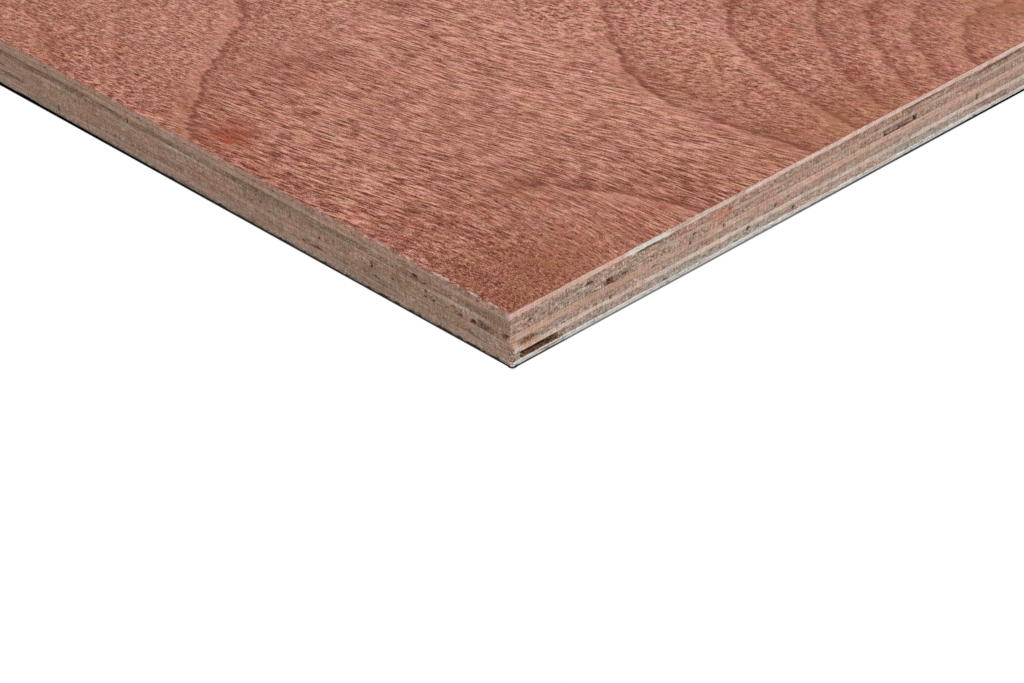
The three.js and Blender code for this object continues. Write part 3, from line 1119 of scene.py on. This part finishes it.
def stain_values(points, on_short_end):
    """Colour and amount of the placed stains at points of a wall, with wandering borders."""
    along, across, below = from_front(points)
    values = np.zeros((len(points), 4))
    placed = [(side, *stain) for side, stains in STAINS.items() for stain in stains]
    for order, (side, start, end, top, bottom, colour, amount) in enumerate(placed):
        s, here = on_side(points, on_short_end, side, STAIN_REACH)
        if side == "corner":
            s, here = across - along, (along < BROKEN_CORNER) & (across < BROKEN_CORNER)
        soft = min(LONGEST_BORDER, (end - start) / 3)
        slid = s + wander(below, ALONG_WANDER, order) * soft
        level = below + wander(s, QUICK_WANDER, order + 100) + wander(s, SLOW_WANDER, order + 200)
        in_height = soft_span(level, top - HALF_BORDER, bottom + HALF_BORDER, 2 * HALF_BORDER)
        inside = soft_span(slid, start, end, soft) * in_height
        share = np.where(here, amount * inside, 0)[:, None]
        colour_and_amount = np.array([(*STAIN_COLOURS[colour][:3], 1.0)])
        values = values * (1 - share) + colour_and_amount * share
    stained = np.maximum(values[:, 3:], 1e-4)
    return np.hstack((values[:, :3] / stained, values[:, 3:]))


print("stains:", {side: len(stains) for side, stains in STAINS.items()})

# %% [markdown]
# ## Sawn core plies
#
# A ply's wall is a ribbon of small faces that follows its outline, with a flat cap above and below. Each
# point and face then stores what the later steps ask of it: which way is out, how deep its pit is, its
# stain, and whether the saw cut across the grain there or along it.

# %% Walls
# Height of one row of a wall's faces, in mm
ROW_HEIGHT = 0.32
# The wall reaches down over most of the glue line below it, so that no gap shows between two plies
GLUE_LINE = 0.1
GLUE_COVERED = 0.9
# Side grain that the saw tore up like end grain: (from, to along the short end, how much)
ROUGHENED = {"cross_ply_2": (0, 66, 1.0), "cross_ply_3": (50, 70, 0.4), "cross_ply_4": (0, 30, 0.25)}
# Over how many mm it begins and ends
ROUGH_BEGINS = 3.0
ROUGH_ENDS = 8.0


def ribbon(plan, heights):
    """Points, wall faces and two caps of a wall that follows a plan outline at each of these heights."""
    count = len(plan)
    points = np.vstack([np.column_stack((plan, np.full(count, height))) for height in heights])
    starts = range(0, count * (len(heights) - 1), count)
    walls = [
        (start + i, start + j, start + count + j, start + count + i)
        for start in starts
        for i, j in zip(range(count), [*range(1, count), 0])
    ]
    return points, walls, [tuple(reversed(range(count))), tuple(range(len(points) - count, len(points)))]


def grain_shares(node, plan, outwards, short_end):
    """How much each face of a wall looks like end grain, from 0 to 1."""
    end_grain = short_end if node.startswith("long") else ~short_end
    shares = np.where(end_grain, 1.0, 0.0)
    if node in ROUGHENED:
        start, end, share = ROUGHENED[node]
        across = (plan[:, 1] + np.roll(plan[:, 1], -1)) / 2 + WIDTH / 2
        begun = np.clip((across - start) / ROUGH_BEGINS, 0, 1)
        inside = begun * np.clip((end - across) / ROUGH_ENDS, 0, 1)
        shares = np.maximum(shares, np.where(short_end, share * inside, 0))
    # A face that looks out of both sides at once is the chip at the corner, which broke like end grain
    chipped = np.minimum(outwards[:, 0], -outwards[:, 1]) > 0.5
    return np.where(chipped, 1.0, shares)


def sawn_wall(name, node):
    """A core ply with a finely divided wall and flat faces above and below."""
    low, high = (corner.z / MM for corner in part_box(node))
    low -= GLUE_LINE * GLUE_COVERED
    plan, outwards = walk(outlines[node])
    rows = max(2, round((high - low) / ROW_HEIGHT))
    points, walls, caps = ribbon(plan, np.linspace(low, high, rows + 1))
    adjust_openings(points, node)
    piece = new_piece(name, points, walls + caps)
    point_short = np.tile(np.abs(outwards[:, 0]) > np.abs(outwards[:, 1]), rows + 1)
    middles = (outwards + np.roll(outwards, -1, axis=0)) / 2
    short_end = np.abs(middles[:, 0]) > np.abs(middles[:, 1])
    shares = grain_shares(node, plan, outwards, short_end)
    wall = [0] * len(walls)
    is_top = node == "cross_ply_1"
    for attribute, kind, domain, values in (
        ("outward", "FLOAT_VECTOR", "POINT", [np.pad(outwards, ((0, 0), (0, 1)))] * (rows + 1)),
        ("pit", "FLOAT", "POINT", pit_depths(points, point_short)),
        ("stain", "FLOAT_COLOR", "POINT", stain_values(points, point_short)),
        # Caps below, and above except under the face, take the painted shade of a gap's inside
        ("cap", "FLOAT", "FACE", wall + [1, not is_top]),
        ("bare", "FLOAT", "FACE", wall + [0, is_top]),
        ("end_grain", "FLOAT", "FACE", np.append(np.tile(shares, rows), (0, 0))),
        ("short_end", "FLOAT", "FACE", np.append(np.tile(short_end, rows), (0, 0))),
    ):
        store(piece.data, attribute, kind, domain, values)
    piece.data.polygons.foreach_set("use_smooth", [True] * len(walls) + [False, False])
    return piece


print("a wall rises in rows of", ROW_HEIGHT, "mm")

# %% [markdown]
# ## Relief by nodes
#
# The tree pushes every point of a wall inwards by the sum of its hollows: torn end grain, streaks along
# side grain, a slow wander of the saw, tears and the placed pits. Points move up or down a little as well,
# most at mid-thickness, because real plies aren't quite even. It keeps the depth for the finish to read.

# %% Relief tree
RELIEF = {
    "End roughness": 0.20 * MM,
    "Side roughness": 0.10 * MM,
    "Wander": 0.15 * MM,
    "Tear depth": 0.45 * MM,
    "Ply wave": 0.9 * MM,
}


def named(tree, name, kind="FLOAT"):
    node = add_node(tree, "GeometryNodeInputNamedAttribute", {"Name": name}, data_type=kind)
    return Signal(tree, node.outputs["Attribute"])


def group_input(tree, name):
    return Signal(tree, tree.nodes["Group Input"].outputs[name])


def new_geometry_tree(name, numbers):
    """A Geometry Nodes tree with geometry in and out, and one named input for each number."""
    tree = bpy.data.node_groups.new(name, "GeometryNodeTree")
    tree.interface.new_socket("Geometry", in_out="INPUT", socket_type="NodeSocketGeometry")
    tree.interface.new_socket("Geometry", in_out="OUTPUT", socket_type="NodeSocketGeometry")
    tree.interface.new_socket("Material", in_out="INPUT", socket_type="NodeSocketMaterial")
    for number in numbers:
        tree.interface.new_socket(number, in_out="INPUT", socket_type="NodeSocketFloat")
    tree.nodes.new("NodeGroupInput")
    tree.nodes.new("NodeGroupOutput")
    return tree


def end_tree(tree, geometry):
    """Ends a geometry tree: real meshes, in the material that the tree is given."""
    solid = add_node(tree, "GeometryNodeRealizeInstances", {"Geometry": geometry})
    material = tree.nodes["Group Input"].outputs["Material"]
    finish = add_node(tree, "GeometryNodeSetMaterial", {"Geometry": solid.outputs[0], "Material": material})
    tree.links.new(finish.outputs[0], tree.nodes["Group Output"].inputs["Geometry"])


def run_tree(piece, tree, values):
    """Runs a tree on a piece with these input values, and keeps the result as its plain mesh."""
    modifier = piece.modifiers.new(tree.name, "NODES")
    modifier.node_group = tree
    for item in tree.interface.items_tree:
        if item.in_out == "INPUT" and item.name in values:
            modifier[item.identifier] = values[item.name]
    evaluated = piece.evaluated_get(bpy.context.evaluated_depsgraph_get())
    mesh = bpy.data.meshes.new_from_object(evaluated)
    mesh.name = piece.name
    piece.modifiers.remove(modifier)
    piece.data = mesh
    return piece


def sawn_relief_tree():
    tree = new_geometry_tree("sawn_relief", [*RELIEF, "Seed"])
    seed = group_input(tree, "Seed")
    position = Signal(tree, add_node(tree, "GeometryNodeInputPosition").outputs[0])
    x, y, z = (part * (1 / MM) for part in split(position))
    place = join(x + seed * 31, y - seed * 17, z)
    end = named(tree, "end_grain")
    torn = texture(place, (0.8, 0.8, 0.6), 11, detail=3, rough=0.65)
    streaked = texture(place, (9, 9, 0.35), 12, detail=2)
    whole = join(x, y, z)
    slow = texture(whole, (35, 35, 6), 13)
    tears = texture(place, (1.9, 1.9, 1.1), 14, detail=2).ramp(0.60, 0.74)
    hollow = named(tree, "pit") * (torn * 1.5 + 0.3) * MM
    hollow = hollow + torn * end * group_input(tree, "End roughness")
    hollow = hollow + streaked * (1.0 - end) * group_input(tree, "Side roughness")
    hollow = hollow + slow * group_input(tree, "Wander")
    hollow = hollow + tears * end * group_input(tree, "Tear depth")
    inputs = {0: named(tree, "outward", "FLOAT_VECTOR"), "Scale": hollow * -1.0}
    inward = add_node(tree, "ShaderNodeVectorMath", inputs, operation="SCALE")
    middle_of_sheet = z * (THICKNESS - z) * (4 / THICKNESS**2)
    wave = texture(whole, (24, 24, 14), 15, detail=1) - 0.5
    lift = join(0.0, 0.0, wave * middle_of_sheet * group_input(tree, "Ply wave"))
    offset = add_node(tree, "ShaderNodeVectorMath", {0: inward.outputs[0], 1: lift}, operation="ADD")
    source = tree.nodes["Group Input"].outputs["Geometry"]
    inputs = {"Geometry": source, "Name": "hollow", "Value": hollow * (1 / MM)}
    remember = add_node(tree, "GeometryNodeStoreNamedAttribute", inputs)
    inputs = {"Geometry": remember.outputs[0], "Offset": offset.outputs[0]}
    end_tree(tree, add_node(tree, "GeometryNodeSetPosition", inputs).outputs[0])
    return tree


sawn_relief = sawn_relief_tree()
print("relief inputs:", list(RELIEF), "and a seed")

# %% [markdown]
# ## One recipe for nine plies
#
# A wall shows its wood in two ways. Cut across its fibres, a ply is a rough surface of tiny dark pores. Cut
# along its fibres, it is all long streaks. A ply's tone is the sum of both, shared out by how far a face
# shows end grain. Its colour starts from two colours of its own, for the short ends and the long sides.
# Wood smears over the glue line into the next ply, soft blotches shift its hue, and stains come last, with
# painted shade in hollows and on the inside of gaps.

# %% Core finish
# Each ply's colour on the short ends, its colour on the long sides, and how strongly its grain shows
CUT_COLOURS = {
    "cross_ply_1": (srgb(232, 196, 184), srgb(181, 136, 116), 1.0),
    "long_ply_1": (srgb(150, 115, 101), srgb(174, 138, 116), 1.0),
    "cross_ply_2": (srgb(180, 145, 129), srgb(149, 106, 81), 1.0),
    "long_ply_2": (srgb(159, 128, 114), srgb(163, 128, 107), 1.1),
    "cross_ply_3": (srgb(195, 159, 143), srgb(160, 122, 100), 1.0),
    "long_ply_3": (srgb(158, 129, 116), srgb(165, 126, 104), 0.75),
    "cross_ply_4": (srgb(215, 196, 187), srgb(157, 123, 103), 1.1),
    "long_ply_4": (srgb(151, 142, 133), srgb(166, 133, 115), 0.95),
    "cross_ply_5": (srgb(233, 236, 237), srgb(174, 157, 142), 1.2),
}
PLIES = list(CUT_COLOURS)
# Shifts of hue: (blotches, where they begin and end, kind of step, amount, colour)
HUES = [
    ("wide", 0.50, 0.75, "SMOOTHSTEP", 0.45, srgb(184, 122, 104)),
    ("wide", 0.50, 0.25, "SMOOTHSTEP", 0.45, srgb(158, 146, 112)),
    ("grey", 0.52, 0.80, "SMOOTHSTEP", 0.50, srgb(168, 158, 150)),
    ("blush", 0.48, 0.80, "LINEAR", 0.55, srgb(190, 118, 112)),
    ("blush", 0.52, 0.20, "LINEAR", 0.55, srgb(146, 150, 118)),
    ("warm", 0.50, 0.80, "LINEAR", 0.45, srgb(190, 136, 92)),
    ("warm", 0.50, 0.20, "LINEAR", 0.45, srgb(156, 144, 146)),
]
# Painted shade in pits and tears, laid on by how far the relief pushed a wall in
PIT_SHADE_BROWN = srgb(84, 54, 32)
# Painted shade on the inside of gaps, mottled between these two browns
GAP_SHADE_BROWN = srgb(146, 100, 64)
GAP_SHADE_DARK = srgb(78, 50, 30)
# A wall takes the painted shade of a gap's inside between these distances from the sheet's edge, in mm
GAP_SHADE_BEGINS = 1.7
GAP_SHADE_WHOLE = 3.2
FRESH_WOOD = srgb(234, 198, 184)
DARK_FIBRE = srgb(84, 60, 46)
PALE_FIBRE = srgb(234, 210, 192)


def cut_colour(short_end, node):
    """A ply's colour: one on the short ends, another on the long sides."""
    short_colour, long_colour, _ = CUT_COLOURS[node]
    return mix_colour(short_end, long_colour, short_colour)


def smeared_wood(node, short_end, whole_sheet, height):
    """A ply's own colour, with its neighbours' colours smeared a little way over the glue lines."""
    low, high = (corner.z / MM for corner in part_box(node))
    above = PLIES[max(PLIES.index(node) - 1, 0)]
    below = PLIES[min(PLIES.index(node) + 1, len(PLIES) - 1)]
    smear = (texture(whole_sheet, (4.0, 4.0, 2.0), 30, detail=3, rough=0.6) - 0.5) * 1.6
    smear_down = (height * -1.0 + high + smear).ramp(0.22, -0.12) * 0.85
    smear_up = (height - low - smear).ramp(0.22, -0.12) * 0.85
    wood = cut_colour(short_end, node)
    wood = mix_colour(smear_down, wood, cut_colour(short_end, above))
    return mix_colour(smear_up, wood, cut_colour(short_end, below))


def core_finish(name, node, seed):
    """A finish for a core ply, from its colours on the short ends and on the long sides."""
    material, tree, shader = new_finish(name, roughness=0.85)
    along, across, height = place_in_sheet(tree)
    place = join(along + seed * 37, across + seed * 23, height)
    whole_sheet = join(along, across, height)
    stored = ("short_end", "end_grain", "hollow", "cap", "bare")
    short_end, end, hollow, cap, fresh = (read_attribute(tree, wanted) for wanted in stored)

    streaks = texture(place, (16, 16, 0.32), 21, detail=3, rough=0.6) - 0.5
    broad_streaks = texture(place, (40, 40, 0.8), 22, detail=1) - 0.5
    speckle = texture(place, (0.62, 0.62, 0.85), 23, detail=3, rough=0.7) - 0.5
    grit = texture(place, (0.30, 0.30, 0.34), 32, detail=1) - 0.5
    blots = texture(place, (2.0, 2.0, 1.1), 28, detail=2, rough=0.6) - 0.5
    layers = texture(place, (12, 12, 0.4), 24, detail=2) - 0.5
    patches = texture(place, (17, 17, 3), 26, detail=2) - 0.5
    saw_marks = texture(whole_sheet, (0.42, 0.42, 5.0), 25, detail=2) - 0.5
    side_tone = streaks * 0.8 + broad_streaks * 0.7 + speckle * 0.9 + blots * 0.6
    side_tone = side_tone * (short_end * -0.35 + 1.0)
    end_tone = (speckle * 1.9 + blots * 1.1 + layers * 0.4) * (short_end * 0.30 + 0.70)
    end_tone = end_tone * (plan_distance(along, across).ramp(120, 30) * 0.3 + 0.9)
    tone = side_tone * (1.0 - end) + end_tone * end + patches * 0.5 + saw_marks * 0.8 + grit * 1.2
    tone = tone * CUT_COLOURS[node][2]

    wood = smeared_wood(node, short_end, whole_sheet, height)
    blotches = {
        "wide": texture(place, (13, 13, 4), 27, detail=2),
        "grey": texture(place, (11, 11, 4), 29, detail=2),
        "blush": texture(place, (3.2, 3.2, 1.6), 31, detail=3, rough=0.6),
        "warm": texture(place, (3.6, 3.6, 1.8), 33, detail=3, rough=0.6),
    }
    for kind, begin, end_at, step, amount, colour in HUES:
        wood = mix_colour(blotches[kind].ramp(begin, end_at, step) * amount, wood, colour)
    stain = read_attribute(tree, "stain", "Alpha")
    ragged_stain = stain + (speckle + streaks + blots) * 1.3 * (stain * 8.0).ramp(0.0, 1.0)
    wood = mix_colour(ragged_stain.ramp(0.05, 0.85), wood, read_attribute(tree, "stain", "Color"))
    wood = mix_colour(fresh * (blots + speckle).ramp(-0.15, 0.10), wood, FRESH_WOOD)
    wood = mix_colour((tone * -1.0).ramp(0.0, 0.52, "LINEAR") * 0.8, wood, DARK_FIBRE)
    wood = mix_colour(tone.ramp(0.0, 0.52, "LINEAR") * 0.6, wood, PALE_FIBRE)
    # Painted shade in pits and tears: the deeper a wall is pushed in, the darker brown it is
    wood = mix_colour(hollow.ramp(0.25, 0.95) * 0.9, wood, PIT_SHADE_BROWN)

    # Painted shade on the inside of gaps, and on the caps, which only show there
    gap_shade = mix_colour((blots * 1.5 + speckle).ramp(-0.22, 0.18), GAP_SHADE_DARK, GAP_SHADE_BROWN)
    inward = along
    for other_edge in (across, along * -1.0 + LENGTH, across * -1.0 + WIDTH):
        inward = inward.math("MINIMUM", other_edge)
    wood = mix_colour(inward.ramp(GAP_SHADE_BEGINS, GAP_SHADE_WHOLE).math("MAXIMUM", cap), wood, gap_shade)
    paint(shader, wood, tone, relief_mm=0.15, strength=0.8)
    return material


core_pieces = {}
for seed, node in enumerate(CUT_COLOURS):
    piece = sawn_wall("sawn_" + node, node)
    grain, _, number = node.split("_")
    finish = core_finish(f"sawn_core_{number}_{grain}", node, seed)
    core_pieces[node] = run_tree(piece, sawn_relief, {**RELIEF, "Seed": float(seed), "Material": finish})
    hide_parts(node)
    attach(piece, "root")
print({node: len(piece.data.polygons) for node, piece in core_pieces.items()})

# %% [markdown]
# ## Splinters
#
# The saw and a knock leave loose slivers: pale ones where the face tore along its edge, upright ones where
# the corner broke, and brown fibres that stick into the open gap. Each is a thin cone laid along a line of
# its own. Python only says where they lie. Geometry Nodes puts a cone on each point and turns and sizes it.

# %% Where the splinters lie
# Torn flakes along the face's long edge: (from, to, how many), in mm from the front corner
TORN_FLAKES = [
    (4.8, 9, 5), (12.4, 19.4, 11), (21.4, 24.2, 4), (25.8, 32, 12), (42.8, 45, 4), (49.4, 51.4, 3),
    (54.6, 58.4, 8), (62.6, 64.4, 4), (72.2, 74.4, 3), (83.4, 85.8, 4), (104.2, 106.2, 3),
    (133.4, 136.6, 3),
]
# Single slivers on the short end: (across, below the face, set in, lean across, lean down, length, tint)
CORNER_SLIVERS = [
    (0.5, 9.8, 0.5, 0.35, 1, 1.8, 0.05), (0.8, 10.9, 0.5, 0.5, 1, 1.9, 0),
    (1.3, 12, 0.4, 0.6, 1, 1.9, 0.1), (2, 12.9, 0.25, 0.8, 1, 1.8, 0.15),
    (2.6, 13.7, 0.2, 1, 0.8, 1.6, 0.25), (0.4, 13.4, 0.9, 0.2, 1, 1.6, 0.2),
    (0.9, 14.8, 0.6, 0.5, 1, 1.5, 0.3), (0.5, 16.2, 0.6, 1, 0.4, 1.2, 0),
    (1.4, 16.6, 0.3, 1, 0.1, 1.3, 0.05), (3.4, 15, 0.5, 1, 0.9, 2.4, 0.45),
    (3, 14.6, 0.4, 1, 0.7, 2, 0.4), (3.9, 15.8, 0.4, 1, 0.5, 1.8, 0.5),
]
# Fibres in the mouth of the gap: (from, to, below the face from, to, how many, tint)
GAP_FIBRES = [
    (13.6, 17.6, 14.7, 16.2, 16, 0.75), (16.6, 20.4, 15.0, 16.3, 12, 0.6), (4.0, 8.0, 15.6, 16.3, 5, 0.9),
]


def sliver_points(name, slivers):
    """Loose points from a list of (x, y, z, direction, length, tint), each with its own attributes."""
    x, y, z, lies, lengths, tints = zip(*slivers)
    piece = new_piece(name, np.column_stack((x, y, z)), [])
    store(piece.data, "lie", "FLOAT_VECTOR", "POINT", lies)
    store(piece.data, "length", "FLOAT", "POINT", np.array(lengths) * MM)
    store(piece.data, "tint", "FLOAT", "POINT", tints)
    return piece


def torn_flakes():
    chance = np.random.default_rng(12)
    for start, end, count in TORN_FLAKES:
        for s in chance.uniform(start, end, count):
            inset, below = chance.uniform(0.25, 1.0), chance.uniform(0.16, 0.36)
            lie = (1.0, chance.uniform(-0.12, 0.30), chance.uniform(-0.03, 0.03))
            length, tint = chance.uniform(0.8, 2.2), chance.uniform(0, 0.3)
            yield LENGTH / 2 - s, inset - WIDTH / 2, THICKNESS - below, lie, length, tint


def corner_slivers():
    for across, below, inset, lean, drop, length, tint in CORNER_SLIVERS:
        lie = (0.0, lean, -drop)
        yield LENGTH / 2 - inset, across - WIDTH / 2, THICKNESS - below, lie, length, tint


def gap_fibres():
    chance = np.random.default_rng(13)
    for start, end, top, bottom, count, tint in GAP_FIBRES:
        for s in chance.uniform(start, end, count):
            inset, below = chance.uniform(0.3, 1.6), chance.uniform(top, bottom)
            lie = (chance.uniform(-0.3, 0.1), -1.0, chance.uniform(-0.12, 0.12))
            yield LENGTH / 2 - inset, s - WIDTH / 2, THICKNESS - below, lie, chance.uniform(1.5, 3.2), tint


edge_slivers = sliver_points("edge_splinters", [*torn_flakes(), *corner_slivers()])
loose_fibres = sliver_points("gap_fibres", gap_fibres())
print("splinters:", len(edge_slivers.data.vertices), "fibres:", len(loose_fibres.data.vertices))

# %% [markdown]
# ## A cone on each point
#
# One thin five-sided cone serves every splinter. The tree turns it to lie along the point's own direction,
# scales it to the point's length, and gives each a width of its own within limits.

# %% Splinters by nodes
SPLINTER_WIDTH = 0.42 * MM
SPLINTER_THICKNESS = 0.16 * MM
# The narrowest and the widest splinter, as shares of that width
NARROWEST = 0.6
WIDEST = 1.3
TIP_MARGIN = 0.01 * MM
# From fresh wood to the darkest fibre: (tint, colour)
SPLINTER_TINTS = [
    (0.0, srgb(240, 220, 208)),
    (0.3, srgb(208, 178, 160)),
    (0.6, srgb(146, 116, 80)),
    (1.0, srgb(74, 48, 28)),
]


def keep_inside(mesh):
    """Presses the few tips that stand out of the sheet's box back to just inside it."""
    low, high = np.array(CAD_LOW) + TIP_MARGIN, np.array(CAD_HIGH) - TIP_MARGIN
    places = np.array([vertex.co[:] for vertex in mesh.vertices])
    mesh.vertices.foreach_set("co", np.clip(places, low, high).ravel())
    mesh.update()


def splinter_tree():
    tree = new_geometry_tree("splinters", ["Width", "Thickness", "Seed"])
    source = tree.nodes["Group Input"].outputs["Geometry"]
    points = add_node(tree, "GeometryNodeMeshToPoints", {"Mesh": source})
    shape = {"Vertices": 5, "Side Segments": 1, "Radius Top": 0.12, "Radius Bottom": 0.5, "Depth": 1.0}
    cone = add_node(tree, "GeometryNodeMeshCone", shape)
    lie = named(tree, "lie", "FLOAT_VECTOR")
    aim = add_node(tree, "FunctionNodeAlignRotationToVector", {"Vector": lie})
    # Sockets 2 and 3 are the limits of a random number, and socket 8 is its seed
    limits = {2: NARROWEST, 3: WIDEST, 8: group_input(tree, "Seed")}
    vary = add_node(tree, "FunctionNodeRandomValue", limits, data_type="FLOAT")
    wide = Signal(tree, vary.outputs[1]) * group_input(tree, "Width")
    size = join(wide, group_input(tree, "Thickness"), named(tree, "length"))
    inputs = {"Points": points.outputs[0], "Instance": cone.outputs[0], "Rotation": aim.outputs[0]}
    placed = add_node(tree, "GeometryNodeInstanceOnPoints", {**inputs, "Scale": size})
    end_tree(tree, placed.outputs[0])
    return tree


def splinter_finish():
    """Pale fresh wood through grey-brown to dark, by each splinter's own tint, with a fine grain."""
    material, tree, shader = new_finish("splinter_wood", roughness=0.8)
    tint = read_attribute(tree, "tint")
    grain = texture(join(*place_in_sheet(tree)), (0.9, 0.9, 0.5), 41, detail=2) - 0.5
    wood = colour_scale(tint + grain * 0.5, SPLINTER_TINTS)
    paint(shader, wood, grain, relief_mm=0.1, strength=0.6)
    return material


splinters = splinter_tree()
splinter_wood = splinter_finish()
for seed, (piece, slot) in enumerate(((edge_slivers, "cross_core"), (loose_fibres, "long_core"))):
    sizes = {"Width": SPLINTER_WIDTH, "Thickness": SPLINTER_THICKNESS, "Seed": float(seed)}
    run_tree(piece, splinters, {**sizes, "Material": splinter_wood})
    keep_inside(piece.data)
    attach(piece, "root")
    print(piece.name, len(piece.data.polygons), "faces")
